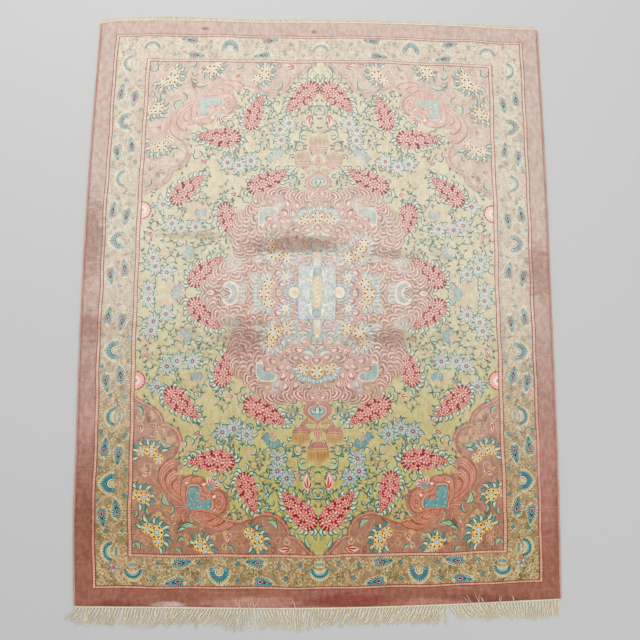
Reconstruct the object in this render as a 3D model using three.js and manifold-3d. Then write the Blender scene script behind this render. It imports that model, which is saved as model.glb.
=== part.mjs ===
// Hand-knotted silk Persian rug lying flat: one knotted body, an overcast cord
// down each side, and a flat-woven end band with its warp fringe at each end.
// Millimetres, +Z up, +Y towards the far (short-fringed) end, underside on Z = 0.

import * as THREE from 'three';
import { mergeVertices } from 'three/addons/utils/BufferGeometryUtils.js';
import Module from 'manifold-3d';

const wasm = await Module();
wasm.setup();

// Knotted body
const PILE_WIDTH = 1220;
const PILE_LENGTH = 1550;
const PILE_THICKNESS = 5;
const BODY_COLUMNS = 16;
const BODY_ROWS = 20;

// Soft ripples of the pile surface
const RIPPLE_HEIGHT = 0.35;
const RIPPLE_ACROSS = 410;
const RIPPLE_ALONG = 330;
const RIPPLE_START = 0.7;

// Clear line between pieces that are sewn or woven together
const SEAM_GAP = 0.35;

// How far each edge stands out from its straight line. The sides are read along Y, the ends along X.
const LEFT_BOW = [
  { at: -770, out: 2 },
  { at: -570, out: 12.5 },
  { at: -435, out: 14 },
  { at: -30, out: 18 },
  { at: 350, out: 14 },
  { at: 760, out: 1 },
];
const RIGHT_BOW = [
  { at: -770, out: -2 },
  { at: -440, out: 5.5 },
  { at: -55, out: 7 },
  { at: 335, out: 8 },
  { at: 770, out: 3 },
];
const NEAR_BOW = [
  { at: -610, out: 1 },
  { at: -30, out: 11 },
  { at: 310, out: 6 },
  { at: 610, out: -4 },
];
const FAR_BOW = [
  { at: -610, out: -2 },
  { at: -530, out: 7 },
  { at: -310, out: 10 },
  { at: -170, out: 8 },
  { at: 120, out: 12 },
  { at: 400, out: 8 },
  { at: 500, out: 3 },
  { at: 610, out: 2 },
];

// Overcast side cords
const CORD_WIDTH = 5;
const CORD_HEIGHT = 4.6;
const CORD_END_TRIM = 1;

// A cord's section, with a flat foot, as shares of half its width and of its height
const CORD_SECTION = [
  { across: -0.55, up: 0 },
  { across: 0.55, up: 0 },
  { across: 1, up: 0.3 },
  { across: 1, up: 0.62 },
  { across: 0.5, up: 1 },
  { across: -0.5, up: 1 },
  { across: -1, up: 0.62 },
  { across: -1, up: 0.3 },
];

// Flat-woven end bands
const BAND_THICKNESS = 2.4;
const NEAR_BAND_WIDTH = 5.5;
const FAR_BAND_WIDTH = 4.5;

// Knotted warp ends. The near ones are long and combed about, the far ones worn short.
const NEAR_STRANDS = {
  count: 160,
  steps: 3,
  width: 2.6,
  height: 1.9,
  taper: 0.8,
  lengthJitter: 0.07,
  seed: 7,
};
const FAR_STRANDS = {
  count: 132,
  steps: 1,
  width: 5,
  height: 1.8,
  taper: 0.5,
  lengthJitter: 0.25,
  seed: 11,
};
const ROOT_DEPTH = 1.8;
const ROOT_INSET = 4;
const LEAN_AT_ROOT = 0.55;
const LEAN_AT_TIP = 1.2;
const MOST_LEAN = 88;
const LEAN_JITTER = 1.3;

// Lean in degrees, positive towards +X, and length of the near strands by their place on the edge
const NEAR_COMB = [
  { at: -612, lean: -80, length: 40 },
  { at: -602, lean: -50, length: 42 },
  { at: -588, lean: -32, length: 43 },
  { at: -525, lean: -30, length: 42 },
  { at: -422, lean: -15, length: 47 },
  { at: -346, lean: -42, length: 45 },
  { at: -283, lean: -52, length: 43 },
  { at: -233, lean: -34, length: 47 },
  { at: -195, lean: -12, length: 52 },
  { at: -170, lean: 8, length: 47 },
  { at: -140, lean: 26, length: 50 },
  { at: -81, lean: 14, length: 52 },
  { at: -43, lean: 2, length: 50 },
  { at: -5, lean: -18, length: 46 },
  { at: 45, lean: -34, length: 46 },
  { at: 160, lean: -37, length: 46 },
  { at: 260, lean: -38, length: 46 },
  { at: 316, lean: -36, length: 45 },
  { at: 326, lean: 56, length: 44 },
  { at: 374, lean: 48, length: 44 },
  { at: 412, lean: 38, length: 43 },
  { at: 463, lean: 30, length: 38 },
  { at: 501, lean: 12, length: 38 },
  { at: 551, lean: -4, length: 41 },
  { at: 615, lean: -5, length: 40 },
];

// Lean and length of the far strands
const FAR_COMB = [
  { at: -610, lean: -35, length: 11 },
  { at: -560, lean: -5, length: 9 },
  { at: -430, lean: 12, length: 12 },
  { at: -250, lean: -6, length: 9 },
  { at: -90, lean: -10, length: 12 },
  { at: 40, lean: 8, length: 8 },
  { at: 170, lean: 0, length: 10 },
  { at: 330, lean: 10, length: 7 },
  { at: 500, lean: -6, length: 9 },
  { at: 612, lean: 6, length: 8 },
];

// Returns a smooth function of the place along an edge through one column of a table.
function alongTable(rows, column) {
  const places = rows.map((row) => row.at);
  const values = rows.map((row) => row[column]);
  const curve = new THREE.CubicInterpolant(places, values, 1, new Float32Array(1));
  return (at) => curve.evaluate(at)[0];
}

// Returns a straight-line function of the place along an edge through one column of a table.
function betweenRows(rows, column) {
  const places = rows.map((row) => row.at);
  const values = rows.map((row) => row[column]);
  const line = new THREE.LinearInterpolant(places, values, 1, new Float32Array(1));
  return (at) => line.evaluate(at)[0];
}

const leftBow = alongTable(LEFT_BOW, 'out');
const rightBow = alongTable(RIGHT_BOW, 'out');
const nearBow = alongTable(NEAR_BOW, 'out');
const farBow = alongTable(FAR_BOW, 'out');

// A place on the body: u runs from the left edge to the right, v from the near end to the far one.
function bodyPoint(u, v) {
  const straightX = (u - 0.5) * PILE_WIDTH;
  const straightY = (v - 0.5) * PILE_LENGTH;
  const left = -PILE_WIDTH / 2 - leftBow(straightY);
  const right = PILE_WIDTH / 2 + rightBow(straightY);
  const near = -PILE_LENGTH / 2 - nearBow(straightX);
  const far = PILE_LENGTH / 2 + farBow(straightX);
  return new THREE.Vector2(THREE.MathUtils.lerp(left, right, u), THREE.MathUtils.lerp(near, far, v));
}

function pileHeight(point) {
  const wave = Math.sin((2 * Math.PI * point.x) / RIPPLE_ACROSS + RIPPLE_START);
  const swell = Math.sin((2 * Math.PI * point.y) / RIPPLE_ALONG);
  return PILE_THICKNESS + RIPPLE_HEIGHT * wave * swell;
}

function closedGeometry(positions, triangles) {
  const geometry = new THREE.BufferGeometry();
  geometry.setAttribute('position', new THREE.Float32BufferAttribute(positions, 3));
  geometry.setIndex(triangles);
  geometry.computeVertexNormals();
  return geometry;
}

function evenly(count) {
  return Array.from({ length: count + 1 }, (_, i) => i / count);
}

// A flat-bottomed slab over the grid of places at each u and v, with a top at heightAt(place).
function slab(us, vs, placeAt, heightAt) {
  const positions = [];
  const triangles = [];
  const columns = us.length - 1;
  const rows = vs.length - 1;
  const across = us.length;
  const layer = us.length * vs.length;
  for (const top of [false, true]) {
    for (const v of vs) {
      for (const u of us) {
        const place = placeAt(u, v);
        positions.push(place.x, place.y, top ? heightAt(place) : 0);
      }
    }
  }
  for (let j = 0; j < rows; j += 1) {
    for (let i = 0; i < columns; i += 1) {
      const a = j * across + i;
      const b = a + 1;
      const c = b + across;
      const d = a + across;
      triangles.push(a, c, b, a, d, c);
      triangles.push(layer + a, layer + b, layer + c, layer + a, layer + c, layer + d);
    }
  }
  const wall = (from, to) => {
    triangles.push(from, to, layer + to, from, layer + to, layer + from);
  };
  for (let i = 0; i < columns; i += 1) {
    wall(i, i + 1);
    wall(rows * across + i + 1, rows * across + i);
  }
  for (let j = 0; j < rows; j += 1) {
    wall(j * across + columns, (j + 1) * across + columns);
    wall((j + 1) * across, j * across);
  }
  return closedGeometry(positions, triangles);
}

// Carries a profile (x across, y up) along places on the floor. scaleAt(t) shrinks it towards t = 1.
function sweep(profile, places, scaleAt = () => 1) {
  const positions = [];
  const triangles = [];
  const count = profile.length;
  places.forEach((place, k) => {
    const before = places[Math.max(k - 1, 0)];
    const after = places[Math.min(k + 1, places.length - 1)];
    const heading = new THREE.Vector2().subVectors(after, before).normalize();
    const size = scaleAt(k / (places.length - 1));
    for (const corner of profile) {
      positions.push(place.x + heading.y * corner.x * size);
      positions.push(place.y - heading.x * corner.x * size);
      positions.push(corner.y * size);
    }
  });
  for (let k = 0; k + 1 < places.length; k += 1) {
    for (let i = 0; i < count; i += 1) {
      const a = k * count + i;
      const b = k * count + ((i + 1) % count);
      triangles.push(a, b + count, b, a, a + count, b + count);
    }
  }
  const last = (places.length - 1) * count;
  for (let i = 1; i + 1 < count; i += 1) {
    triangles.push(0, i, i + 1);
    triangles.push(last, last + i + 1, last + i);
  }
  return closedGeometry(positions, triangles);
}

function asSolid(geometry) {
  const bare = new THREE.BufferGeometry();
  bare.setAttribute('position', geometry.getAttribute('position').clone());
  bare.setIndex(geometry.getIndex().clone());
  const merged = mergeVertices(bare);
  return new wasm.Manifold(new wasm.Mesh({
    numProp: 3,
    vertProperties: new Float32Array(merged.getAttribute('position').array),
    triVerts: new Uint32Array(merged.getIndex().array),
  }));
}

function asGeometry(solid) {
  const mesh = solid.getMesh();
  return closedGeometry(Array.from(mesh.vertProperties), Array.from(mesh.triVerts));
}

// Repeatable draws between -1 and 1
function seededDraw(seed) {
  let state = seed;
  return () => {
    state = (state * 1664525 + 1013904223) % 4294967296;
    return (state / 4294967296) * 2 - 1;
  };
}

function knottedBody() {
  return slab(evenly(BODY_COLUMNS), evenly(BODY_ROWS), bodyPoint, pileHeight);
}

// A wrapped cord beside one edge. side is -1 on the left and 1 on the right.
function sideCord(side) {
  const half = CORD_WIDTH / 2;
  const profile = CORD_SECTION.map((corner) => {
    return { x: corner.across * half, y: corner.up * CORD_HEIGHT };
  });
  const u = side < 0 ? 0 : 1;
  const places = [];
  for (let j = 0; j <= BODY_ROWS; j += 1) {
    const edge = bodyPoint(u, j / BODY_ROWS);
    edge.x += side * (SEAM_GAP + half);
    places.push(edge);
  }
  places[0].y += CORD_END_TRIM;
  places[BODY_ROWS].y -= CORD_END_TRIM;
  return sweep(profile, places);
}

// A place past one end of the body: u as on the body, out away from its edge.
function endPoint(u, out, side) {
  const column = THREE.MathUtils.clamp(Math.floor(u * BODY_COLUMNS), 0, BODY_COLUMNS - 1);
  const v = side < 0 ? 0 : 1;
  const from = bodyPoint(column / BODY_COLUMNS, v);
  const to = bodyPoint((column + 1) / BODY_COLUMNS, v);
  const edge = from.lerp(to, u * BODY_COLUMNS - column);
  edge.y += side * (SEAM_GAP + out);
  return edge;
}

// The band has a corner at each corner of the body's end and runs on past the side cords.
function endBand(side, width) {
  const past = CORD_WIDTH / PILE_WIDTH;
  const us = [-past, ...evenly(BODY_COLUMNS), 1 + past];
  const placeAt = (u, v) => endPoint(u, (side < 0 ? 1 - v : v) * width, side);
  return slab(us, [0, 1], placeAt, () => BAND_THICKNESS);
}

// The places along one strand: it leaves its root near upright to the edge and bends to its full lean.
function strandPlaces(root, side, lean, length, steps) {
  const places = [new THREE.Vector2(root.x, root.y - side * ROOT_DEPTH)];
  const step = length / steps;
  const at = root.clone();
  for (let k = 0; k < steps; k += 1) {
    const share = (k + 0.5) / steps;
    const angle = lean * THREE.MathUtils.lerp(LEAN_AT_ROOT, LEAN_AT_TIP, share);
    const turn = THREE.MathUtils.degToRad(THREE.MathUtils.clamp(angle, -MOST_LEAN, MOST_LEAN));
    at.x += step * Math.sin(turn);
    at.y += side * step * Math.cos(turn);
    places.push(at.clone());
  }
  return places;
}

// An end band with its strands fused along its outer edge.
function fringe(side, bandWidth, strands, comb) {
  const draw = seededDraw(strands.seed);
  const leanAt = betweenRows(comb, 'lean');
  const lengthAt = betweenRows(comb, 'length');
  const profile = [
    { x: -strands.width / 2, y: 0 },
    { x: strands.width / 2, y: 0 },
    { x: 0, y: strands.height },
  ];
  const span = PILE_WIDTH - ROOT_INSET;
  let solid = asSolid(endBand(side, bandWidth));
  for (let i = 0; i < strands.count; i += 1) {
    const x = ((i + 0.5) / strands.count - 0.5) * span;
    const root = endPoint(x / PILE_WIDTH + 0.5, bandWidth, side);
    const lean = leanAt(x) + LEAN_JITTER * draw();
    const length = lengthAt(x) * (1 + strands.lengthJitter * draw());
    const places = strandPlaces(root, side, lean, length, strands.steps);
    const scaleAt = (t) => THREE.MathUtils.lerp(1, strands.taper, t);
    solid = solid.add(asSolid(sweep(profile, places, scaleAt)));
  }
  return asGeometry(solid);
}

function silk(color, roughness) {
  return new THREE.MeshStandardMaterial({ color, roughness, metalness: 0 });
}

function piece(name, geometry, material) {
  const mesh = new THREE.Mesh(geometry, material);
  mesh.name = name;
  return mesh;
}

const rug = new THREE.Group();
const nearFringe = fringe(-1, NEAR_BAND_WIDTH, NEAR_STRANDS, NEAR_COMB);
const farFringe = fringe(1, FAR_BAND_WIDTH, FAR_STRANDS, FAR_COMB);
rug.add(piece('rug_body', knottedBody(), silk(0xcdae8a, 0.55)));
rug.add(piece('selvedge_left', sideCord(-1), silk(0xc98f80, 0.6)));
rug.add(piece('selvedge_right', sideCord(1), silk(0xc98f80, 0.6)));
rug.add(piece('fringe_near', nearFringe, silk(0xd9cfae, 0.75)));
rug.add(piece('fringe_far', farFringe, silk(0xdcdcc8, 0.75)));

// The frame's origin is under the middle of the whole rug, fringe included.
const middle = new THREE.Box3().setFromObject(rug).getCenter(new THREE.Vector3());
rug.position.set(-middle.x, -middle.y, 0);
rug.updateMatrixWorld(true);

export default rug;
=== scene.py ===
"""Knotted silk rug with a flowering field, a lobed centre and pear-shaped flower clusters.

The rug is one flat sheet. Its woven ground, overcast side cords, flat-woven end bands and fringes
are pieces of their own, and the pile is a thin skin over the ground. The pile's pattern is drawn
once, for one quarter, from outlines worked out by formula in millimetres, and mirrored four ways.
"""

import bpy
import numpy as np
from mathutils import Matrix, Vector
from mathutils.geometry import delaunay_2d_cdt


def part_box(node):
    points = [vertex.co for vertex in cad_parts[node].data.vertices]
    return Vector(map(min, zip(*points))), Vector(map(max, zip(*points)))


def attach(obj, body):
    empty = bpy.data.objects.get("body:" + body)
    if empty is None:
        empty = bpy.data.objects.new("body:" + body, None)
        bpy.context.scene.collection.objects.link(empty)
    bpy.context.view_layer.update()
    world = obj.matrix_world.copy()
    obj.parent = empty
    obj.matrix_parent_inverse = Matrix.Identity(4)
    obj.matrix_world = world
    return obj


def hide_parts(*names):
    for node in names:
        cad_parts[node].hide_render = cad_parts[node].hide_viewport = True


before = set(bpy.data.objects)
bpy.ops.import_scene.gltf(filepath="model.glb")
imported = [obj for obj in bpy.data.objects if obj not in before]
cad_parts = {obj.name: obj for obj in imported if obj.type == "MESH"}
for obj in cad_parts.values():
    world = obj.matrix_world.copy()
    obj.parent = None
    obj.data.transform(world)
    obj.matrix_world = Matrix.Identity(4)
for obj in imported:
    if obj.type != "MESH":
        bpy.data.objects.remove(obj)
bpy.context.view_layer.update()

# Sizes, in millimetres unless a name says otherwise
MM = 0.001
HALF_WIDTH = 610.0
HALF_LENGTH = 775.0
SEAMS = (0.0, 190.0, 390.0, HALF_WIDTH)  # where the strips of pile meet, counted outwards from the centre
LEAST_SHOWN = 1.6  # mm2 of a mark that must show
SHELF = 8.0  # depth of the shelves that points are sorted on
SHELF_STEP = 4000.0  # more than any place along a shelf, so that shelves don't mix
AT_ONCE = 2000000  # pairs of point and edge tested in one go
CELLS_ACROSS, CELLS_ALONG = 26, 32  # plain grid over a quarter of the pile
LAYOUT_MARGIN = 0.005  # room round each half of a strip's flat layout
CLOSE = 0.2  # corners nearer than this become one
PILE_TOP = 5.0
GROUND_TOP = 4.3
GROUND_RIM = 1.5  # height at which the ground's upper and under sides meet
SEAM_GAP = 0.35
RIM_REACH = 3.0  # how far in from its edge the pile begins to round off
RIM_DROP = 2.4  # how far the pile's edge lies below its top
PATTERN_SHIFT = (-6.0, 15.0)  # how far the weaver's centre lies from the middle of the rug
CORD_WIDTH = 5.0
CORD_HEIGHT = 4.6
NEAR_BAND = 5.5
FAR_BAND = 4.5
BAND_HEIGHT = 2.4
EDGE_STEPS = 420  # steps along a side cord and along an end band
CORD_SIDES = 10
BUNCHES = 150
BUNCH_THREADS = 5
FIRST_BUNCH = HALF_WIDTH - 4.0  # the outermost bunch, from the middle of an end
# How far each edge bows outwards, as place along the edge + 1j * bow
LEFT_BOW = [-770+2j, -570+12.5j, -435+14j, -30+18j, 350+14j, 760+1j]
RIGHT_BOW = [-770 - 2j, -440+5.5j, -55+7j, 335+8j, 770+3j]
NEAR_BOW = [-610+1j, -30+11j, 310+6j, 610 - 4j]
FAR_BOW = [-610 - 2j, -530+7j, -310+10j, -170+8j, 120+12j, 400+8j, 500+3j, 610+2j]
# Which way the fringe is combed: place along the end, lean in degrees towards +X, length
NEAR_COMB = np.array([
    (-612, -80, 40), (-602, -50, 42), (-588, -32, 43), (-525, -30, 42), (-422, -15, 47), (-346, -42, 45),
    (-283, -52, 43), (-233, -34, 47), (-195, -12, 52), (-170, 8, 47), (-140, 26, 50), (-81, 14, 52),
    (-43, 2, 50), (-5, -18, 46), (45, -34, 46), (160, -37, 46), (260, -38, 46), (316, -36, 45),
    (326, 56, 44), (374, 48, 44), (412, 38, 43), (463, 30, 38), (501, 12, 38), (551, -4, 41), (615, -5, 40),
], float)
FAR_COMB = np.array([
    (-610, -35, 11), (-560, -5, 9), (-430, 12, 12), (-250, -6, 9), (-90, -10, 12), (40, 8, 8), (170, 0, 10),
    (330, 10, 7), (500, -6, 9), (612, 6, 8),
], float)

# Dyes, as 0 to 255 display values
DYES = {
    "rose": (164, 104, 84),
    "rose_rim": (204, 156, 136),
    "rose_edge": (156, 98, 80),
    "guard_red": (146, 62, 50),
    "guard_cream": (226, 182, 150),
    "gold": (164, 140, 94),
    "gold_deep": (130, 106, 66),
    "scroll": (212, 190, 144),
    "scroll_tan": (204, 160, 110),
    "field": (194, 179, 105),
    "field_peach": (202, 170, 116),
    "field_olive": (152, 142, 76),
    "spandrel": (176, 124, 98),
    "spandrel_dusk": (148, 94, 70),
    "vine": (134, 124, 64),
    "tan": (196, 152, 92),
    "teal": (36, 116, 122),
    "teal_dark": (24, 78, 88),
    "teal_line": (42, 100, 92),
    "sky": (116, 182, 186),
    "leaf": (176, 196, 150),
    "leaf_pale": (202, 212, 182),
    "ruby": (168, 26, 38),
    "ruby_dark": (134, 18, 28),
    "blush": (240, 162, 148),
    "blush_deep": (210, 92, 84),
    "straw": (238, 212, 142),
    "cream": (242, 228, 198),
    "lilac": (184, 196, 188),
    "lilac_deep": (122, 140, 138),
    "saffron": (226, 184, 100),
    "ice": (184, 202, 210),
    "wine": (104, 22, 22),
    "lake": (112, 158, 150),
    "lake_line": (74, 126, 134),
    "ribbon": (186, 106, 80),
    "ribbon_pale": (222, 164, 130),
    "ribbon_dark": (158, 82, 62),
    "petal_base": (206, 168, 146),
    "petal_line": (164, 74, 68),
    "petal_pale": (240, 200, 182),
    "shell": (222, 184, 162),
    "shell_line": (164, 88, 74),
    "shell_brown": (142, 88, 64),
    "tassel": (202, 160, 62),
}
DYE_NAMES = list(DYES)

# Zones of the pattern; a mark shows only in the zones it names
BAND, GUARD, BORDER, SPANDREL, FIELD, MEDALLION, CLUSTER = 1, 2, 4, 8, 16, 32, 64
INSIDE = SPANDREL | FIELD | MEDALLION
OPENS = 128  # set on an outline that opens a zone of its own


# Curves and outlines, as complex numbers
def smooth(points, count, closed=False):
    """Catmull-Rom curve: each stretch is the cubic whose ends have the slope of their neighbours' chord."""
    p = np.asarray(points, complex)
    if closed:
        p = np.concatenate([p[-1:], p, p[:2]])
    else:
        p = np.concatenate([2 * p[:1] - p[1:2], p, 2 * p[-1:] - p[-2:-1]])
    t = np.linspace(0, len(p) - 3, count, endpoint=not closed)
    i = np.minimum(t.astype(int), len(p) - 4)
    f = t - i
    a, b, c, d = p[i], p[i + 1], p[i + 2], p[i + 3]
    return 0.5 * (2 * b + (c - a) * f + (2 * a - 5 * b + 4 * c - d) * f**2 + (3 * b - a - 3 * c + d) * f**3)


def bow_of(table):
    """The bow at a place along an edge, read off the smooth curve through the table."""
    curve = smooth(table, 200)
    return lambda place: np.interp(place, curve.real, curve.imag)


LEFT_EDGE, RIGHT_EDGE, NEAR_EDGE, FAR_EDGE = (bow_of(t) for t in (LEFT_BOW, RIGHT_BOW, NEAR_BOW, FAR_BOW))


def on_rug(p):
    """Straight pattern millimetres to the rug as it lies: the centre slides by PATTERN_SHIFT, fading to
    nothing at the edges, and the rectangle is stretched between its four bowed edges."""
    x, y = p.real, p.imag
    calm = (1 - (x / HALF_WIDTH) ** 2) * (1 - (y / HALF_LENGTH) ** 2)
    x = x + PATTERN_SHIFT[0] * calm
    y = y + PATTERN_SHIFT[1] * calm
    u = x / (2 * HALF_WIDTH) + 0.5
    v = y / (2 * HALF_LENGTH) + 0.5
    across = (1 - u) * (-HALF_WIDTH - LEFT_EDGE(y)) + u * (HALF_WIDTH + RIGHT_EDGE(y))
    along = (1 - v) * (-HALF_LENGTH - NEAR_EDGE(x)) + v * (HALF_LENGTH + FAR_EDGE(x))
    return across + 1j * along


def ripple(p):
    """Height of the slow waves in the cloth: the product of a sine across and a sine along."""
    return 0.35 * np.sin(2 * np.pi * p.real / 410 + 0.7) * np.sin(2 * np.pi * p.imag / 330)


def frame_shift():
    """From pile-centred millimetres to the part's frame: the body's box middle less the outline's own."""
    side = np.linspace(-1, 1, 400)
    rim = np.concatenate([on_rug(HALF_WIDTH * s + 1j * HALF_LENGTH * side) for s in (-1, 1)])
    rim = np.concatenate([rim] + [on_rug(HALF_WIDTH * side + 1j * HALF_LENGTH * s) for s in (-1, 1)])
    middle = (rim.real.min() + rim.real.max()) / 2 + 1j * (rim.imag.min() + rim.imag.max()) / 2
    low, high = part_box("rug_body")
    return ((low[0] + high[0]) / 2 + 1j * (low[1] + high[1]) / 2) / MM - middle


SHIFT = frame_shift()


def to_frame(p, height):
    """Complex millimetres on the rug and a height in millimetres to metres in the part's frame."""
    q = np.asarray(p) + SHIFT
    return np.stack([q.real, q.imag, np.broadcast_to(height, q.shape)], -1) * MM


# The pattern's marks
MARKS = []


def lay(zones, dye, outline):
    """Adds a filled outline, its corners counter-clockwise. A later mark lies over an earlier one."""
    outline = np.asarray(outline, complex)
    if (np.conj(outline) * np.roll(outline, -1)).imag.sum() < 0:
        outline = outline[::-1]
    MARKS.append((outline, DYE_NAMES.index(dye), zones))


def ray(degrees):
    """Step of length 1, turned from +X."""
    return np.exp(1j * np.radians(degrees))


def disc(centre, radius, count=12, turn=0.0, squash=1.0):
    """Ellipse: the radius turned through a circle, its second axis times squash, and the whole turned."""
    a = 2 * np.pi * np.arange(count) / count
    return centre + ray(turn) * radius * (np.cos(a) + 1j * squash * np.sin(a))


def drop(root, tip, width, bend=0.0, belly=0.8, count=5):
    """Leaf outline: a spine bowed by bend, half-width the sine of its length to the power belly."""
    t = np.linspace(0, 1, count)
    spine = root + (tip - root) * (t + 1j * bend * 4 * t * (1 - t))
    half = 1j * (tip - root) / max(abs(tip - root), 1e-6) * width / 2 * np.sin(np.pi * t**belly)
    return np.concatenate([spine + half, (spine - half)[-2:0:-1]])


def strand(path, width, ends=0.4):
    """Band along a path; its width falls with the cube of the distance from the middle to ends of it."""
    turn = np.gradient(path)
    turn = turn / np.maximum(np.abs(turn), 1e-9)
    half = width / 2 * (1 - (1 - ends) * np.abs(np.linspace(-1, 1, len(path))) ** 3)
    return np.concatenate([path + 1j * turn * half, (path - 1j * turn * half)[::-1]])


def spiral(centre, start, turns, count, inner=0.3):
    """Curl from start inwards: the angle grows evenly while the radius falls to inner of it."""
    t = np.linspace(0, 1, count)
    return centre + (start - centre) * np.exp(2j * np.pi * turns * t) * (1 - (1 - inner) * t)


def line(zones, dye, points, width):
    """Smooth drawn line through a few points."""
    lay(zones, dye, strand(smooth(points, 6 * (len(points) - 1) + 1), width))


def leaf(zones, root, tip, width, bend=0.15, rim="teal_line", fill="leaf", vein=None):
    """Outlined leaf: a drop, a smaller one inside it and a vein."""
    lay(zones, rim, drop(root, tip, width, bend))
    along = tip - root
    inset = min(2.2 / max(abs(along), 1e-6), 0.3)
    narrow = max(width - 4.0, width * 0.4)
    lay(zones, fill, drop(root + along * inset, tip - along * inset * 1.3, narrow, bend))
    if vein:
        t = np.linspace(0.15, 0.75, 5)
        lay(zones, vein, strand(root + along * (t + 1j * bend * 4 * t * (1 - t)), 1.3))


def nest(zones, outline, focus, dyes, sizes):
    """Concentric lines: the outline drawn in towards a focus by each size in turn."""
    for dye, size in zip(dyes, sizes):
        lay(zones, dye, focus + (outline - focus) * size)


def pear_shape(length, width, curl, count=48, bumps=0, depth=0.0):
    """Pear outline, head at -x and tail at +x: a teardrop (cosine along; sine times the half-angle sine to
    the power 0.9 across) whose tail bends by curl with the square of its place, with round bumps outwards."""
    a = 2 * np.pi * (np.arange(count) + 0.5) / count
    p = length / 2 * np.cos(a) + 1j * width * 0.56 * np.sin(a) * np.abs(np.sin(a / 2)) ** 0.9
    p = p + 1j * curl * (p.real / length + 0.5) ** 2
    way = np.roll(p, -1) - np.roll(p, 1)
    run = np.cumsum(np.abs(p - np.roll(p, 1)))
    return p - 1j * way / np.abs(way) * depth * np.abs(np.sin(np.pi * bumps * run / run[-1]))


def ruff(zones, shape, shares, length, width, sweep, rim, fill=None):
    """Leaves round an outline: each stands on it at its share of the way round, and leans by sweep."""
    way = np.roll(shape, -1) - np.roll(shape, 1)
    out = -1j * way / np.abs(way)
    for share in shares:
        k = int(share * len(shape)) % len(shape)
        lean = sweep if share < 0.5 else -sweep
        root = shape[k] - out[k] * 2.0
        tip = root + out[k] * ray(lean) * length * (0.9 + 0.14 * np.cos(37.0 * share))
        if fill:
            leaf(zones, root, tip, width, -0.16 * np.sign(lean), rim, fill)
        else:
            lay(zones, rim, drop(root, tip, width, -0.1 * np.sign(lean), 0.9))


def rosette(centre, radius, turn, petals):
    """Round flower of the clusters: pale petals on a bright disc, and a straw heart."""
    lay(CLUSTER, "ruby", disc(centre, radius * 1.08, 10))
    for k in range(petals):
        way = ray(turn + 360 * k / petals)
        petal = drop(centre + way * radius * 0.26, centre + way * radius * 1.06, radius * 0.43, 0, 1.3)
        lay(CLUSTER, "blush" if k % 4 else "petal_pale", petal)
    lay(CLUSTER, "straw", disc(centre, radius * 0.25, 6, 20))
    lay(CLUSTER, "ruby_dark", disc(centre, radius * 0.1, 4))


def cluster(centre, turn, curl, size):
    """Pear-shaped flower cluster: leaves round a bumpy dark pear, and rosettes in three rows that fill it."""
    way = ray(turn) * size
    curl = curl * 1.5
    plain = centre + way * pear_shape(114, 58, curl, 60)
    outer = np.arange(0.05, 0.49, 0.043)
    inner = np.array([0.03, 0.1, 0.18, 0.3, 0.42])
    outer, inner = (outer, 1 - inner) if curl < 0 else (1 - outer, inner)
    ruff(FIELD, plain, outer, 22, 11, -34, "teal_line", "leaf_pale")
    ruff(FIELD, plain, inner, 20, 10.5, -40, "teal_line", "leaf_pale")
    lay(FIELD | CLUSTER | OPENS, "ruby_dark", centre + way * pear_shape(112, 57, curl, 88, 22, 3.0))
    rim = centre + way * pear_shape(106, 52, curl, 44)
    for k in range(0, 44, 2):
        inwards = (centre - way * 14 - rim[k]) / abs(centre - way * 14 - rim[k])
        lay(CLUSTER, "blush", drop(rim[k] - inwards * 4.4, rim[k] + inwards * 5, 4.2, 0, 0.7))
    places = [
        (-32, 20, 11), (-9, 22, 10), (-32, -20, 11), (-9, -22, 10), (14, 20, 9.5), (14, -18, 9.5),
        (33, 13, 7), (34, -12, 7), (51, 0, 6), (41, 1, 8), (25, 2, 10.5), (4, 0, 12.5), (-17, 0, 13),
        (-39, 0, 12.5),
    ]
    for k, (along, across, radius) in enumerate(places):
        bend = curl * (along / 112 + 0.5) ** 2
        spot = centre + way * (along + 1j * (across + bend))
        rosette(spot, radius * size, turn + 29 * k, 8 if radius > 9 else 6)


def daisy(centre, outwards):
    """Spray flower's ten long petals: outlined leaves of uneven length over all but the inner side."""
    for k in range(10):
        way = ray(outwards - 150 + 300 * k / 9)
        length = 33.0 * (0.84 + 0.16 * np.cos(2.4 * k))
        fill = "lilac" if k % 2 else "leaf_pale"
        bend = 0.14 * (-1) ** k
        leaf(FIELD, centre + way * 8, centre + way * length, 12, bend, "teal_line", fill, "lilac_deep")


def daisy_eye(centre, turn):
    """Spray flower's wheel: nine grey petals with darker edges and a white-dotted red eye."""
    radius = 16.0
    for k in range(9):
        way = ray(turn + 40 * k)
        lay(FIELD, "lilac_deep", drop(centre + way * 2, centre + way * radius, radius * 0.6, 0, 1.2))
        lay(FIELD, "lilac", drop(centre + way * 5, centre + way * radius * 0.92, radius * 0.4, 0, 1.2))
    lay(FIELD, "ruby", disc(centre, 4.8, 10))
    lay(FIELD, "cream", disc(centre, 1.9, 8))


def spray(eyes, outwards):
    """Group of daisies: all the long petals lie under all the wheels."""
    middle = sum(eyes) / len(eyes)
    for eye in eyes:
        way = np.degrees(np.angle(eye - middle)) if abs(eye - middle) > 4 else outwards
        daisy(eye, way)
    for k, eye in enumerate(eyes):
        daisy_eye(eye, 11.0 * k)


def floret(zones, centre, radius, turn):
    """Small flower of the yellow clusters: a pale eye and six dark dots."""
    lay(zones, "lilac_deep", disc(centre, radius * 1.1, 8))
    lay(zones, "ice", disc(centre, radius * 0.86, 8))
    for k in range(6):
        lay(zones, "wine", disc(centre + ray(turn + 60 * k) * radius * 1.95, radius * 0.42, 6))


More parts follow.
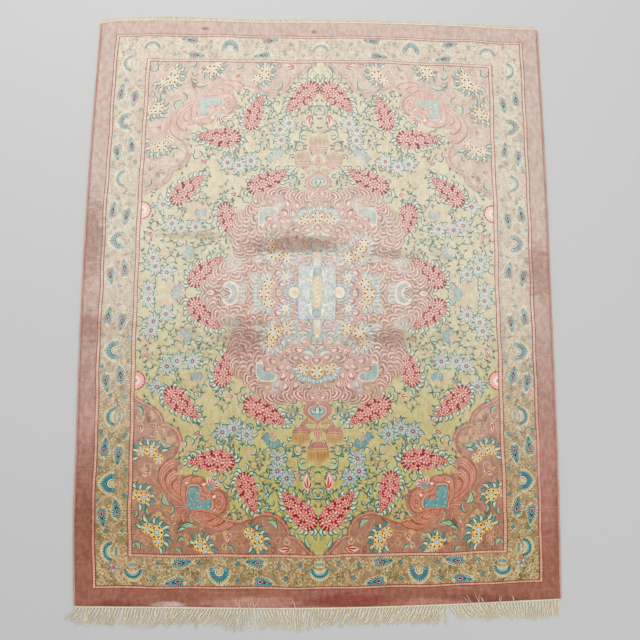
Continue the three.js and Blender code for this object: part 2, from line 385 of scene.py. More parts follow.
def yellow_cluster(zones, eyes, from_angle, to_angle, petals=13, reach=20.0, rim="teal_line", fill="lake"):
    """Arch of florets on yellow with a fringe of blue petals over the angles named."""
    middle = sum(e[0] for e in eyes) / len(eyes)
    hull = [(e[0], e[1] * 2.7) for e in eyes]
    for k in range(petals):
        way = ray(from_angle + (to_angle - from_angle) * k / (petals - 1))
        far = max(((h - middle) * np.conj(way)).real + r * 0.94 for h, r in hull)
        root = middle + way * far
        leaf(zones, root - way * 4, root + way * reach * (0.85 + 0.15 * np.cos(2.1 * k)), 10.5, 0.12, rim,
             fill if k % 2 else "leaf_pale", rim if k % 2 else None)
    for place, radius in hull:
        bumps = np.arange(24)
        lay(zones, "saffron", place + radius * (1 + 0.07 * np.cos(np.pi * bumps)) * ray(15.0 * bumps))
    for k, (place, radius) in enumerate(eyes):
        for j in range(8):
            way = ray(45 * j + 20)
            petal = drop(place + way * radius * 0.9, place + way * radius * 2.6, radius * 0.8, 0, 1.2)
            lay(zones, "straw", petal)
        floret(zones, place, radius, 17.0 * k)


def tulip(zones, root, way, length=22.0):
    """Small bud: a pale narrow sheath, two curved petals and a spine."""
    tip = root + ray(way) * length
    lay(zones, "cream", drop(root - ray(way) * 3, tip, length * 0.46, 0.08))
    lay(zones, "blush", drop(root, root + ray(way) * length * 0.9, length * 0.3, 0.08))
    for turn, share in ((-24, 0.62), (22, 0.66), (0, 0.95)):
        petal = drop(root, root + ray(way + turn) * length * share, length * 0.12, 0.12 * np.sign(turn))
        lay(zones, "ruby", petal)


def palmette(centre, way, size):
    """Pale blue bud of the field: overlapping upright petals that open from a cup."""
    out = ray(way) * size
    for across in (-12, 12, -7, 7, 0):
        root = centre - out * (10 - 0.2j * across)
        tip = centre + out * (20 - abs(across) * 0.5 + 1j * across * 1.1)
        leaf(FIELD, root, tip, 13 * size, 0.1 * np.sign(across), "lake_line", "lake")
    lay(FIELD, "field_peach", disc(centre - out * 9, 6 * size, 10, way, 1.5))
    lay(FIELD, "blush_deep", disc(centre - out * 9, 2.4 * size, 8))


def scroll(zones, centre, start, turns, dye, width, count):
    """Curl drawn as a line that thins to half its width."""
    lay(zones, dye, strand(spiral(centre, start, turns, count), width, 0.5))


# The border's motifs
def pear(centre, way, curl):
    """Teal pear on a pale patch: a bent drop with short strokes all round it and a red heart in it."""
    out = ray(way)
    lay(BORDER, "scroll", centre + out * (3 + pear_shape(60, 35, curl * 1.2, 26)))
    body = pear_shape(38, 19, curl, 40)
    ruff(BORDER, centre + out * body, (np.arange(19) + 0.5) / 19, 10.5, 3.1, -38, "teal")
    lay(BORDER, "teal", centre + out * body)
    lay(BORDER, "sky", centre + out * (body * 0.84 - 1.2))
    lay(BORDER, "teal_dark", centre + out * (body * 0.7 - 2.0))
    lay(BORDER, "cream", centre + out * (-5 + pear_shape(15, 9.6, curl * 0.3, 14)))
    lay(BORDER, "ruby", centre + out * (-5 + pear_shape(12.5, 7.4, curl * 0.3, 14)))


def fan(centre, way):
    """Half flower that opens outwards: long strokes stand round a dark arc, a pale one and a yellow heart."""
    out = ray(way)
    half = ray(np.linspace(-100, 100, 17)) * out
    point = 1 + 0.16 * np.exp(-np.linspace(-2.6, 2.6, 17) ** 2 * 3)
    lay(BORDER, "scroll", centre + half * 30 * point)
    lay(BORDER, "sky", centre + half * 22 * point)
    for k in range(15):
        stroke = out * ray(-98 + 14 * k)
        reach = 27 + 4 * np.exp(-((k - 7) ** 2))
        lay(BORDER, "teal", drop(centre + stroke * 9, centre + stroke * reach, 4.3, 0, 1.2, 6))
    lay(BORDER, "teal_dark", centre + half * 13)
    lay(BORDER, "cream", centre + half * 10.8)
    lay(BORDER, "teal", centre + half * 8.4)
    for k in (-1, 1):
        lay(BORDER, "teal", drop(centre + out * (2 + 13j * k), centre + out * (-9 + 23j * k), 8, 0.1 * k))
        lay(BORDER, "sky", drop(centre + out * (0 + 14j * k), centre + out * (-6 + 20j * k), 4, 0.1 * k))
    lay(BORDER, "saffron", disc(centre + out * 1, 6.2, 10))
    lay(BORDER, "leaf", disc(centre + out * 1, 2.4, 8))


def crescent(centre, way):
    """Teal crescent, its outer side toothed and its inner side dotted white, with a small bar inside."""
    out = ray(way)
    arc = np.linspace(-80, 80, 17)
    lay(BORDER, "scroll", centre + out * (strand(19 * ray(arc), 26, 0.35) - 16))
    for k in range(13):
        tooth = ray(-78 + 13 * k)
        lay(BORDER, "teal", centre + out * (drop(tooth * 17, tooth * 27, 4.2, 0, 0.9) - 16))
    lay(BORDER, "teal", centre + out * (strand(18.5 * ray(arc), 9.5, 0.25) - 16))
    lay(BORDER, "sky", centre + out * (strand(17.6 * ray(arc * 0.8), 3.0, 0.3) - 16))
    for k in range(9):
        lay(BORDER, "cream", disc(centre + out * (14.2 * ray(-64 + 16 * k) - 16), 1.4, 6))
    bar = centre - out * 24
    lay(BORDER, "scroll", disc(bar, 14, 14, way + 90, 0.62))
    for k in range(7):
        step = (k - 3) * 3.1
        lay(BORDER, "teal", drop(bar + out * (5 + 1j * step), bar + out * (-5 + 1j * step), 2.4, 0, 1.0))
    lay(BORDER, "lilac_deep", disc(bar, 8.5, 10, way + 90, 0.34))
    lay(BORDER, "sky", disc(bar, 6.0, 8, way + 90, 0.22))


def quatrefoil(centre):
    """Four teal dots round a pale one."""
    for k in range(4):
        lay(BORDER, "teal", disc(centre + 3.1 * ray(90 * k), 2.6, 7))
    lay(BORDER, "sky", disc(centre, 2.0, 6))


def pair(middle, outward, along, spread):
    """Two pears side by side: the outer one's tail points away from the fan and the inner one's towards it.
    spread is 1 where the fan lies towards along, and -1 where it lies the other way."""
    out, go = ray(outward), ray(along) * spread
    pear(middle + 21 * out - 8 * go, np.degrees(np.angle(-go)) + 6 * spread, -7 * spread)
    pear(middle - 20 * out + 8 * go, np.degrees(np.angle(go)) + 6 * spread, -7 * spread)


def border_scrolls(rng):
    """Small spirals with leaves, close together over the main border, in pale, tan and dark threads."""
    runs = [(518.5 + 1j * y, 90) for y in np.arange(8, 724, 15)]
    runs += [(x + 693j, 0) for x in np.arange(8, 560, 15)]
    for place, along in runs:
        for _ in range(2):
            spot = place + complex(*rng.normal(0, 18, 2))
            lay(BORDER, "gold_deep", drop(spot, spot + 15 * ray(rng.uniform(0, 360)), 4, 0.4, 1))
    for place, along in runs:
        across = 1j * ray(along)
        for k in (-1.75, -1.05, -0.35, 0.35, 1.05, 1.75):
            centre = place + across * (k * 19 + rng.normal(0, 3)) + ray(along) * rng.normal(0, 5)
            radius = rng.uniform(5.5, 9.5)
            hand = rng.choice((-1, 1))
            start = centre + radius * ray(rng.uniform(0, 360))
            dye = ("scroll", "scroll_tan", "scroll", "gold_deep", "guard_cream", "scroll")[rng.integers(6)]
            scroll(BORDER, centre, start, 1.0 * hand, dye, 2.0, 8)
            way = ray(rng.uniform(0, 360))
            lay(BORDER, dye, drop(centre + way * radius, centre + way * (radius + 9), 4, 0.25 * hand, 0.8, 4))


def frame_lines():
    """The plain band and the rectangles of both guard stripes, drawn from the outside in."""
    half = HALF_WIDTH + 1j * HALF_LENGTH

    def rectangle(corner):
        share = np.arange(50) / 50
        return np.concatenate([[0], corner.real + 1j * corner.imag * share, corner - corner.real * share,
                               [1j * corner.imag]])

    for corner, dye, zone in (
        (half, "rose_rim", BAND), (half - 1.2 - 1.2j, "rose_edge", BAND), (half - 4 - 4j, "rose", BAND),
        (569+734j, "guard_red", GUARD), (566.4+732j, "guard_cream", GUARD),
        (561.5+728.4j, "guard_red", GUARD), (558.6+726j, "gold", BORDER),
        (479+660j, "guard_red", GUARD), (476.6+658.4j, "guard_cream", GUARD),
        (470+653.4j, "guard_red", GUARD), (467.6+651j, "spandrel", SPANDREL),
    ):
        lay(zone | OPENS, dye, rectangle(corner))
    # Slanting ticks over the pale middle of both stripes, up the side and then along the end
    for outer, inner, length, upright in (
        (566.6, 561.4, 726, True), (476.8, 469.8, 650, True),
        (732.2, 728.2, 560, False), (658.6, 653.2, 470, False),
    ):
        for run in np.arange(3, length, 6.4):
            if upright:
                tick = drop(outer + 1j * run, inner + 1j * (run + 1.4), 1.3, 0, 1)
            else:
                tick = drop(run + 1j * outer, run + 1.4 + 1j * inner, 1.3, 0, 1)
            lay(GUARD, "guard_red", tick)


def border(rng):
    """Main border: scrolls, then pairs of pears, fans, crescents, small quatrefoils and a corner flower."""
    border_scrolls(rng)
    for y, spread in ((63, 1), (219, -1), (401, 1), (554, -1)):
        pair(523 + 1j * y, 0, 90, spread)
    for y in (146, 480):
        fan(520 + 1j * y, 0)
    crescent(531+316j, 0)
    crescent(531+646j, 0)
    pair(353+694j, 90, 0, -1)
    pair(152+695j, 90, 0, 1)
    fan(252+693j, 90)
    crescent(699j, 90)
    crescent(466+702j, 90)
    for place in (518+26j, 486+112j, 552+106j, 487+176j, 553+186j, 530+262j, 492+268j, 552+352j,
                  490+362j, 552+440j, 486+448j, 486+512j, 553+520j, 532+598j, 492+596j,
                  414+708j, 404+674j, 306+712j, 300+674j, 206+712j, 206+674j, 100+678j, 84+708j,
                  48+676j):
        quatrefoil(place)
    corner = 514+684j
    for k in range(3):
        lay(BORDER, "lilac_deep", disc(corner + 8 * ray(120 * k + 75), 6, 10))
        lay(BORDER, "ice", disc(corner + 8 * ray(120 * k + 75), 3.6, 9))
    lay(BORDER, "blush_deep", disc(corner, 4.5, 10))


# The field, its corners and its centre
FIELD_EDGE = [467+268j, 456+277j, 426+291j, 405+309j, 396+327j, 397+341j]
SECOND_LOBE = [397+341j, 379+341j, 358+355j, 348+379j, 353+404j, 364+421j]
CLOUD_TOP = [364+421j, 348+432j, 342+452j, 334+466j, 310+464j, 288+470j, 277+487j, 262+492j,
             240+499j, 225+516j, 221+540j, 226+562j]
THIRD_LOBE = [226+572j, 200+577j, 166+565j, 140+557j, 114+560j, 90+576j, 78+597j, 78+611j]
TIP_LOBE = [78+611j, 58+615j, 38+634j, 16+654j]
MEDALLION_EDGE = [
    [300+0j, 288+13j, 274+28j, 266+47j, 248+67j, 222+80j, 200+94j],
    [200+94j, 208+128j, 212+165j, 200+205j, 172+228j],
    [172+228j, 160+246j, 140+260j, 111+273j, 76+268j, 40+262j, 18+268j, 0+276j],
]


def braid(points):
    """Ribbon: dark edges, a warm body, a dark thread and a pale one along the middle."""
    path = smooth(points, 8 * (len(points) - 1) + 1)
    for dye, share in (("ribbon_dark", 1.0), ("ribbon", 0.8), ("ribbon_dark", 0.38), ("ribbon_pale", 0.2)):
        lay(INSIDE, dye, strand(path, 13.0 * share, 0.9))


def field_shape():
    """The field's outline in a quarter: its lobes, closed through the centre of the pattern."""
    shape = [smooth(part, 7 * (len(part) - 1) + 1)
             for part in (FIELD_EDGE, SECOND_LOBE, CLOUD_TOP, THIRD_LOBE, TIP_LOBE)]
    return np.concatenate([[0, 467]] + shape + [[652j]])


def cloud_band(zones, outline, focus, count=36, steps=6):
    """Lobe of a cloud band: its outline drawn in again and again, in pale and dark threads."""
    shape = smooth(outline, count, closed=True)
    for k in range(steps):
        size = 1 - k / steps
        dyes = ("ribbon_pale" if k % 2 else "ribbon_dark", "ribbon", "ribbon_pale", "ribbon")
        nest(zones, shape, focus, dyes, [size - share / steps for share in (0, 0.22, 0.52, 0.70)])


def blot(centre, size, turn, squash, wander, count, rng):
    """Soft patch: an ellipse of eight corners that wander a little, made smooth."""
    return smooth(disc(centre, size, 8, turn, squash) + rng.normal(0, wander, 8), count, True)


def spandrel(rng):
    """Corner piece: vines, patches, scrolls, cloud bands, the pale blue angle, the ribbon and the flowers."""
    vines = [
        [455+300j, 430+330j, 400+352j, 380+372j], [462+440j, 440+452j, 420+470j, 400+492j],
        [440+640j, 420+570j, 390+545j, 350+570j], [350+570j, 345+610j, 300+645j, 240+640j],
        [240+600j, 200+600j, 160+590j, 120+600j], [100+640j, 70+632j, 60+645j, 80+648j],
        [380+480j, 392+520j, 380+560j, 340+560j], [462+380j, 440+376j, 420+382j, 396+390j],
        [330+640j, 260+606j, 215+612j, 180+640j], [440+560j, 400+560j, 372+580j, 364+620j],
    ]
    for points in vines:
        line(SPANDREL, "tan", points, 2.6)
    for _ in range(60):
        centre = rng.uniform(20, 460) + 1j * rng.uniform(280, 645)
        dye = ("spandrel_dusk", "scroll_tan")[rng.integers(2)]
        lay(SPANDREL, dye, blot(centre, rng.uniform(8, 22), rng.uniform(0, 180), 0.5, 2, 16, rng))
    for _ in range(270):
        centre = rng.uniform(10, 462) + 1j * rng.uniform(275, 648)
        start = centre + rng.uniform(7, 14) * ray(rng.uniform(0, 360))
        dye = ("scroll_tan", "spandrel_dusk", "scroll_tan", "scroll", "vine", "ribbon_pale")[rng.integers(6)]
        scroll(SPANDREL, centre, start, rng.choice((-1, 1)) * 1.0, dye, 2.3, 9)
        lay(SPANDREL, dye, drop(start, start + 11 * ray(rng.uniform(0, 360)), 4.4, 0.3, 1, 4))
    # Cloud bands that swirl round the pale blue angle
    cloud_band(SPANDREL, [369+419j, 398+440j, 405+468j, 389+502j, 358+528j, 330+542j, 332+515j,
                          345+484j, 362+456j], 352+500j)
    cloud_band(SPANDREL, [322+548j, 312+562j, 288+580j, 256+598j, 222+594j, 204+578j, 232+574j,
                          262+558j, 292+546j], 290+562j)
    for points in ([330+540j, 352+548j, 360+566j], [330+546j, 342+560j, 338+576j],
                   [336+540j, 362+540j, 374+550j]):
        line(SPANDREL, "ribbon", points, 8)
        line(SPANDREL, "ribbon_pale", points, 1.6)
    both = SPANDREL | FIELD
    ring = np.array([346+466j, 318+458j, 288+468j, 280+486j, 262+498j, 240+498j, 224+514j, 219+536j,
                     228+556j, 250+562j, 290+554j, 330+550j, 350+524j, 352+490j])
    heart = 306+522j
    cloud_band(both, heart + (ring - heart) * 0.9, heart, 60)
    cloud_band(both, disc(249+530j, 17, 14, 80, 0.8), 249+530j, 20, 3)
    cloud_band(both, disc(306+476j, 17, 14, 0, 0.5), 306+476j, 20, 2)
    for points in ([336+484j, 328+482j, 326+490j], [284+484j, 288+490j, 294+486j],
                   [260+510j, 266+516j, 258+518j], [260+550j, 266+546j, 256+544j]):
        lay(both, "cream", smooth(points, 9, True))
    angle = smooth([328+491j, 314+488j, 300+491j, 301+502j, 298+512j, 299+523j, 288+524j, 277+522j,
                    266+524j, 264+534j, 266+545j, 278+547j, 290+545j, 303+548j, 316+546j, 330+548j,
                    332+536j, 329+524j, 332+512j, 329+502j], 60, True)
    nest(both, angle, 311+532j, ("ribbon", "ribbon_pale", "lake_line", "lake"), (1.14, 1.03, 0.94, 0.86))
    for place, way in ((320+500j, 30), (308+500j, 120), (318+512j, 60), (308+520j, 150), (320+528j, 20),
                       (302+532j, 100), (290+531j, 40), (278+532j, 130), (314+538j, 0)):
        lay(both, "lake_line", drop(place, place + ray(way) * 9, 3.0, 0.4, 1, 6))
        lay(both, "ice", drop(place + 4j, place + 4j + ray(way + 40) * 8, 2.6, -0.4, 1, 6))
    bud = 270+492j
    for turn in (-56, -28, 0, 28, 56):
        lay(both, "petal_pale", drop(bud, bud + ray(235 + turn) * 26, 9, 0.1, 1.1))
        lay(both, "ruby", drop(bud, bud + ray(235 + turn) * 23, 3.0, 0.1, 1.1))
    lay(both, "lake", disc(271+492j, 9, 10, 20, 0.7))
    for lobe in (FIELD_EDGE, SECOND_LOBE, THIRD_LOBE, TIP_LOBE):
        braid(lobe)
    yellow_cluster(SPANDREL, [(422+405j, 5.6), (447+404j, 4.6), (404+424j, 4.6)], 190, 372)
    yellow_cluster(SPANDREL, [(440+515j, 6.0), (468+508j, 5.0)], 100, 290, 11)
    yellow_cluster(SPANDREL, [(406+601j, 6.4), (430+591j, 5), (402+622j, 5)], 110, 330, 15, 24)
    yellow_cluster(SPANDREL, [(298+628j, 6), (285+646j, 5)], 100, 330, 11)
    yellow_cluster(SPANDREL, [(155+616j, 6), (174+603j, 5), (150+632j, 4.6)], 60, 280, 12)
    for root, tip, width, bend in (
        (376+538j, 390+506j, 17, 0.2), (366+534j, 376+560j, 9, 0.2), (424+560j, 430+536j, 10, 0.25),
        (460+566j, 456+544j, 10, -0.2), (350+598j, 306+584j, 15, 0.22), (356+604j, 330+590j, 8, 0.3),
        (334+614j, 356+622j, 12, -0.2), (360+636j, 342+654j, 11, 0.2), (463+290j, 446+316j, 10, 0.25),
        (400+380j, 368+392j, 13, -0.25), (396+372j, 388+386j, 8, 0.2), (130+572j, 104+596j, 14, 0.25),
        (462+622j, 448+644j, 12, 0.2), (466+640j, 460+622j, 8, 0.2), (232+632j, 212+650j, 9, 0.2),
    ):
        leaf(SPANDREL, root, tip, width, bend, "teal_line", "leaf", "teal")
    tulip(SPANDREL, 449+336j, 85)
    tulip(SPANDREL, 425+456j, 20)
    tulip(SPANDREL, 222+606j, 60)
    tulip(SPANDREL, 72+640j, 2, 30)


def tendril(start, way, reach, rng):
    """Curling stem with three leaflets along its outer side."""
    hand = rng.choice((-1, 1))
    centre = start + reach * ray(way)
    dye = ("vine", "field_olive", "teal_line", "vine")[rng.integers(4)]
    path = spiral(centre, start, 0.95 * hand, 10, 0.3)
    lay(FIELD, dye, strand(path, 2.2, 0.6))
    for k in (1, 3, 6):
        away = (path[k] - centre) / abs(path[k] - centre)
        lean = away * ray(40 * hand)
        lay(FIELD, "teal_line", drop(path[k], path[k] + lean * 11, 5.4, 0.2 * hand, 0.9))
        if k == 3:
            lay(FIELD, "leaf", drop(path[k] + away * 2, path[k] + lean * 9, 3, 0.2 * hand, 0.9, 4))


def field(rng):
    """Flowering field: patches, tendrils and leaves under palmettes, sprays, buds, clusters and an arch."""
    for _ in range(34):
        centre = rng.uniform(0, 460) + 1j * rng.uniform(0, 640)
        dye = ("field_peach", "field_olive", "field_peach")[rng.integers(3)]
        lay(FIELD, dye, blot(centre, rng.uniform(14, 34), rng.uniform(0, 180), 0.55, 3, 20, rng))
    for _ in range(330):
        start = rng.uniform(0, 460) + 1j * rng.uniform(0, 645)
        tendril(start, rng.uniform(0, 360), rng.uniform(9, 20), rng)
    for _ in range(160):
        root = rng.uniform(0, 460) + 1j * rng.uniform(0, 645)
        way = rng.uniform(0, 360)
        for turn in (-28, 28)[: rng.integers(1, 3)]:
            tip = root + ray(way + turn) * rng.uniform(15, 25)
            fill = ("leaf_pale", "leaf", "lilac")[rng.integers(3)]
            leaf(FIELD, root, tip, 8.5, 0.26 * np.sign(turn), "teal_line", fill)
    for centre, way, size in (
        (120+370j, 60, 1.1), (345+114j, 200, 1.1), (310+221j, 270, 1.0), (362+0j, 0, 1.2),
        (110+384j, 100, 1.0),
    ):
        palmette(centre, way, size)
    for eyes, outwards in (
        ([215+350j, 245+358j, 181+364j], 270), ([101+424j, 104+454j, 81+472j], 20),
        ([362+176j, 322+177j, 387+190j], 270), ([393+55j, 425+72j, 431+96j], 60),
        ([438+14j], 0), ([412+242j], 60),
    ):
        spray(eyes, outwards)
    for root, way in ((215+268j, 10), (300+356j, 40), (444+168j, 255), (28+486j, 270)):
        tulip(FIELD, root, way)
    for root, tip, width in ((20+640j, 34+606j, 12), (4+620j, 10+590j, 9), (48+620j, 60+596j, 10)):
        leaf(FIELD, root, tip, width, 0.1)
    for centre, turn, curl, size in (
        (240+192j, -99, -12, 0.93), (131+300j, 166, -16, 1.05), (354+290j, 124, 16, 0.98),
        (270+423j, -12, 14, 1.04), (181+507j, 98, 12, 0.92), (54+553j, -34, -12, 1.04),
        (297+62j, 126, 12, 0.98),
    ):
        cluster(centre, turn, curl, size)
    arch = 467+226j
    lay(FIELD, "ruby", disc(arch, 25, 24))
    for k in range(9):
        way = ray(100 + 20 * k)
        lay(FIELD, "blush", drop(arch + way * 8, arch + way * 24, 8, 0, 1.3))
    lay(FIELD, "cream", disc(arch, 12, 14))
    lay(FIELD, "ribbon", disc(arch, 5, 10))


def medallion(rng):
    """Lobed centre: lobes of close lines, arches of florets and a pale blue block in the middle."""
    shape = np.concatenate([smooth(part, 6 * (len(part) - 1) + 1) for part in MEDALLION_EDGE] + [[0]])
    lay(MEDALLION | OPENS, "petal_base", shape)
    lines = (("shell_line", "shell"), ("petal_line", "petal_pale"), ("shell_brown", "petal_base"),
             ("shell_line", "field_peach"), ("lilac_deep", "shell"))
    sizes = (1, 0.9, 0.78, 0.62, 0.48, 0.28)

    def swirl(zones, centre, turn, size=1.0):
        """One lobe: an ellipse pinched by a cosine of twice the angle, drawn in as dark and pale lines."""
        outline = disc(centre, 25 * size, 14, turn, 0.68)
        outline = outline + 5j * ray(turn) * np.cos(2 * np.angle((outline - centre) * ray(-turn)))
        dark, pale = lines[rng.choice(5, p=(0.4, 0.14, 0.2, 0.14, 0.12))]
        nest(zones, outline, centre + ray(turn) * 14 * size, (dark, pale) * 3, sizes)

    for row in range(12):
        for column in range(12):
            centre = (column + (row % 2) / 2) * 27 + 1j * row * 25 + complex(*rng.normal(0, 3, 2))
            turn = np.degrees(np.angle(centre + 1)) + 90 + 60 * np.sin(centre.real / 48)
            swirl(MEDALLION, centre, turn + 45 * np.cos(centre.imag / 40))
    for part in MEDALLION_EDGE:
        path = smooth(part, 8 * (len(part) - 1) + 1)
        run = np.cumsum(np.abs(np.diff(path, prepend=path[0])))
        for place in np.arange(14, run[-1], 26.0):
            k = int(np.searchsorted(run, place))
            along = np.degrees(np.angle(path[min(k + 1, len(path) - 1)] - path[k - 1]))
            swirl(FIELD | MEDALLION, path[k], along + rng.normal(0, 22), 0.86)
    # Pale blue angle and arc
    lay(MEDALLION, "petal_pale", smooth([204+0j, 210+24j, 232+34j, 248+18j, 232+12j, 226+0j], 24))
    lay(MEDALLION, "lake", smooth([208+0j, 214+18j, 230+27j, 240+19j, 226+12j, 221+0j], 24))
    angle = smooth([154+188j, 146+186j, 139+193j, 139+206j, 118+211j, 108+220j, 118+229j, 142+228j,
                    154+216j], 30, True)
    middle = 138+212j
    lay(MEDALLION, "petal_pale", middle + (angle - middle) * 1.16)
    lay(MEDALLION, "lake", angle)
    for k in range(4):
        stripe = np.array([141+193j, 147+196j, 153+193j]) + 7j * k
        lay(MEDALLION, "lake_line", strand(stripe, 1.6))
    # Arches of florets
    for eyes, low, high, petals, reach in (
        ([(0+206j, 6.2), (36+198j, 5.2)], -8, 188, 15, 19),
        ([(124+132j, 5.2), (111+105j, 6), (79+94j, 5.4)], -70, 250, 21, 20),
        ([(139+0j, 6), (127+27j, 5.4)], -75, 110, 14, 20),
    ):
        yellow_cluster(MEDALLION, eyes, low, high, petals, reach, "lake_line", "ice")
    # Small yellow flower with blue petals beside the block
    flower = 82+41j
    for k in range(7):
        leaf(MEDALLION, flower, flower + ray(51 * k + 10) * 25, 9, 0.15, "lake_line", "ice")
    lay(MEDALLION, "straw", disc(flower, 8, 12))
    lay(MEDALLION, "tan", disc(flower, 3, 8))
    # The block, its side wheels, its neck and its foot
    for dye, size in (("lake_line", 1.1), ("ice", 1.0), ("lake", 0.82), ("ice", 0.66)):
        lay(MEDALLION, dye, disc(58+0j, 27 * size, 20, 0, 0.86))
    for k in range(16):
        way = ray(45 * (k % 8) + 20 * (k // 8))
        leaf(MEDALLION, 56 + 16 * way, 56 + 30 * way, 6, 0.2, "lake_line", "ice")
    for dye, wide, high in (
        ("lake_line", 15, 106), ("lake", 12.5, 106), ("leaf_pale", 8, 106),
        ("lake_line", 50, 72), ("ice", 48, 70), ("lake", 19, 68),
    ):
        lay(MEDALLION, dye, [0, wide, wide + 1j * high, 1j * high])
    lay(MEDALLION, "cream", smooth([16+16j, 24+30j, 20+52j, 12+66j, 13+40j], 18, True))
    for k in range(12):
        y = 4 + 5.7 * k
        dark = np.array([30 + 1j * y, 36 + 1j * (y + 2), 45 + 1j * (y - 1)])
        light = np.array([31 + 1j * (y + 2.6), 37 + 1j * (y + 4.6), 44 + 1j * (y + 2)])
        lay(MEDALLION, "lake_line", strand(dark, 1.7))
        lay(MEDALLION, "cream", strand(light, 1.3))
    for dye, size in (("lake_line", 18), ("cream", 15.5), ("straw", 10), ("tan", 4.5), ("straw", 2)):
        lay(MEDALLION, dye, disc(57+0j, size, 18))
    lay(MEDALLION, "lake_line", smooth([0+44j, 9+48j, 12+57j, 7+66j, 0+68j], 16))
    lay(MEDALLION, "lake", smooth([0+48j, 6+51j, 8+57j, 4+63j, 0+64j], 16))
    for _ in range(46):
        spot = rng.uniform(12, 46) + 1j * rng.uniform(2, 68)
        hook = spiral(spot, spot + rng.uniform(3.5, 6) * ray(rng.uniform(0, 360)), 0.8, 8, 0.5)
        lay(MEDALLION, ("lake_line", "lake", "lilac_deep", "cream")[rng.integers(4)], strand(hook, 1.7, 0.6))
    lay(MEDALLION, "saffron", [0, 10, 10+36j, 5+42j, 42j])
    for k in range(4):
        bead = 12.5j * k
        nest(MEDALLION, disc(bead, 6.4, 12), bead, ("tan", "straw", "tan", "cream"), (1, 0.8, 0.52, 0.36))
    for place in (0+100j, 6+94j, 6+106j):
        lay(MEDALLION, "tan", disc(place, 5, 8))
        lay(MEDALLION, "straw", disc(place, 2, 6))
    for place, radius in ((18+112j, 9), (7+121j, 9)):
        lay(MEDALLION, "lake_line", disc(place, radius, 14))
        lay(MEDALLION, "lake", disc(place, radius - 2.4, 12))
    lay(MEDALLION, "straw", disc(0+113j, 6, 12))
    lay(MEDALLION, "blush_deep", disc(34+92j, 11, 14, 0, 0.66))
    for root, tip, width in (
        (16+84j, 46+80j, 8), (16+104j, 44+100j, 8), (22+110j, 56+112j, 10), (24+114j, 46+136j, 10),
        (44+120j, 62+108j, 7), (4+168j, 42+156j, 13), (2+150j, 24+140j, 9), (0+182j, 0+152j, 12),
    ):
        leaf(MEDALLION, root, tip, width, -0.22, "lake_line", "leaf_pale", "leaf")
    tulip(MEDALLION, 171+66j, 282)
    tulip(MEDALLION, 84+166j, 235)
    for dye, width in (("ribbon_dark", 22), ("petal_pale", 15), ("ribbon", 8)):
        lay(MEDALLION, dye, drop(281 - width * 0.9, 281 + width * 0.7, width, 0))


def pendant():
    """Hanging ornament at each end of the centre: curls, a heart, brackets and cups with gold tassels."""
    zones = FIELD | MEDALLION
    for dye, width in (("ribbon_dark", 5.5), ("blush_deep", 3.6), ("petal_pale", 1.4)):
        lay(zones, dye, strand(spiral(15+277j, 4+290j, 1.2, 26), width, 0.8))
    heart = [0+286j, 16+284j, 30+292j, 33+308j, 22+322j, 8+332j, 0+338j]
    path = smooth(heart, 32)
    for dye, size in (("ribbon_dark", 1.06), ("ribbon", 1.0), ("ribbon_dark", 0.8), ("ribbon_pale", 0.72),
                      ("lake", 0.62)):
        lay(zones, dye, np.concatenate([[312j + (path[0] - 312j) * size], 312j + (path - 312j) * size]))
    lay(zones, "teal_line", drop(0+318j, 0+290j, 16, 0))
    lay(zones, "leaf_pale", drop(0+316j, 0+294j, 9, 0))
    leaf(zones, 2+312j, 18+300j, 9, 0.2, "teal", "leaf_pale")
    for points in ([8+338j, 30+334j, 38+344j, 28+350j], [6+350j, 22+356j, 34+346j, 46+350j],
                   [0+338j, 2+360j, 0+380j]):
        line(zones, "ribbon_dark", points, 8)
        line(zones, "ribbon", points, 5.4)
        line(zones, "ribbon_pale", points, 1.5)
    nest(zones, disc(362j, 10, 14), 362j, ("ribbon_dark", "ribbon_pale", "ruby", "blush"), (1, 0.8, 0.5, 0.3))

    def cup(centre, wide, deep, tails):
        """A cap with gold tassels under it, and a dark line at the side of each tassel."""
        for dye, aside, fall, width, belly in (
            ("tassel", 0, 1j, 3.6, 0.6), ("ribbon_dark", 1.5, 0.92j, 1.7, 0.8),
        ):
            for k in range(tails):
                share = k / (tails - 1) - 0.5
                root = centre + share * wide * 0.94 + aside
                length = deep * (1 - 0.5 * abs(share))
                lay(zones, dye, drop(root + 2j, root + fall * length, width, 0, belly))
        cap = ray(np.linspace(180, 360, 13))
        lay(zones, "ribbon_dark", centre + cap.real * wide / 2 + 1j * cap.imag * wide * 0.4 + 4j)
        lay(zones, "ribbon", centre + cap.real * (wide / 2 - 2) + 1j * cap.imag * (wide * 0.4 - 2) + 2j)
        lay(zones, "ribbon_pale", disc(centre + 1j, wide * 0.46, 12, 0, 0.05))
        for k in range(7):
            lay(zones, "ribbon_dark", disc(centre + (k - 3) * wide / 7.4 - 2j, 1.3, 6))

    cup(42+358j, 44, 40, 13)
    cup(0+398j, 52, 46, 15)
    leaf(zones, 62+402j, 36+412j, 10, -0.3)
    leaf(zones, 52+424j, 14+444j, 12, -0.4)
    line(zones, "vine", [0+445j, 24+452j, 30+480j, 26+505j], 2)
    line(zones, "vine", [26+505j, 14+520j, 0+530j], 2)
    lay(zones, "blush", drop(26+506j, 28+456j, 20, 0.06))
    lay(zones, "petal_pale", drop(26+503j, 28+461j, 14, 0.06))
    tulip(zones, 26+498j, -88, 34)


def draw_quarter():
    """All marks of one quarter, x and y counted outwards from the centre of the pattern."""
    rng = np.random.default_rng(4)
    frame_lines()
    border(rng)
    lay(FIELD | OPENS, "field", field_shape())
    spandrel(rng)
    field(rng)
    medallion(rng)
    pendant()


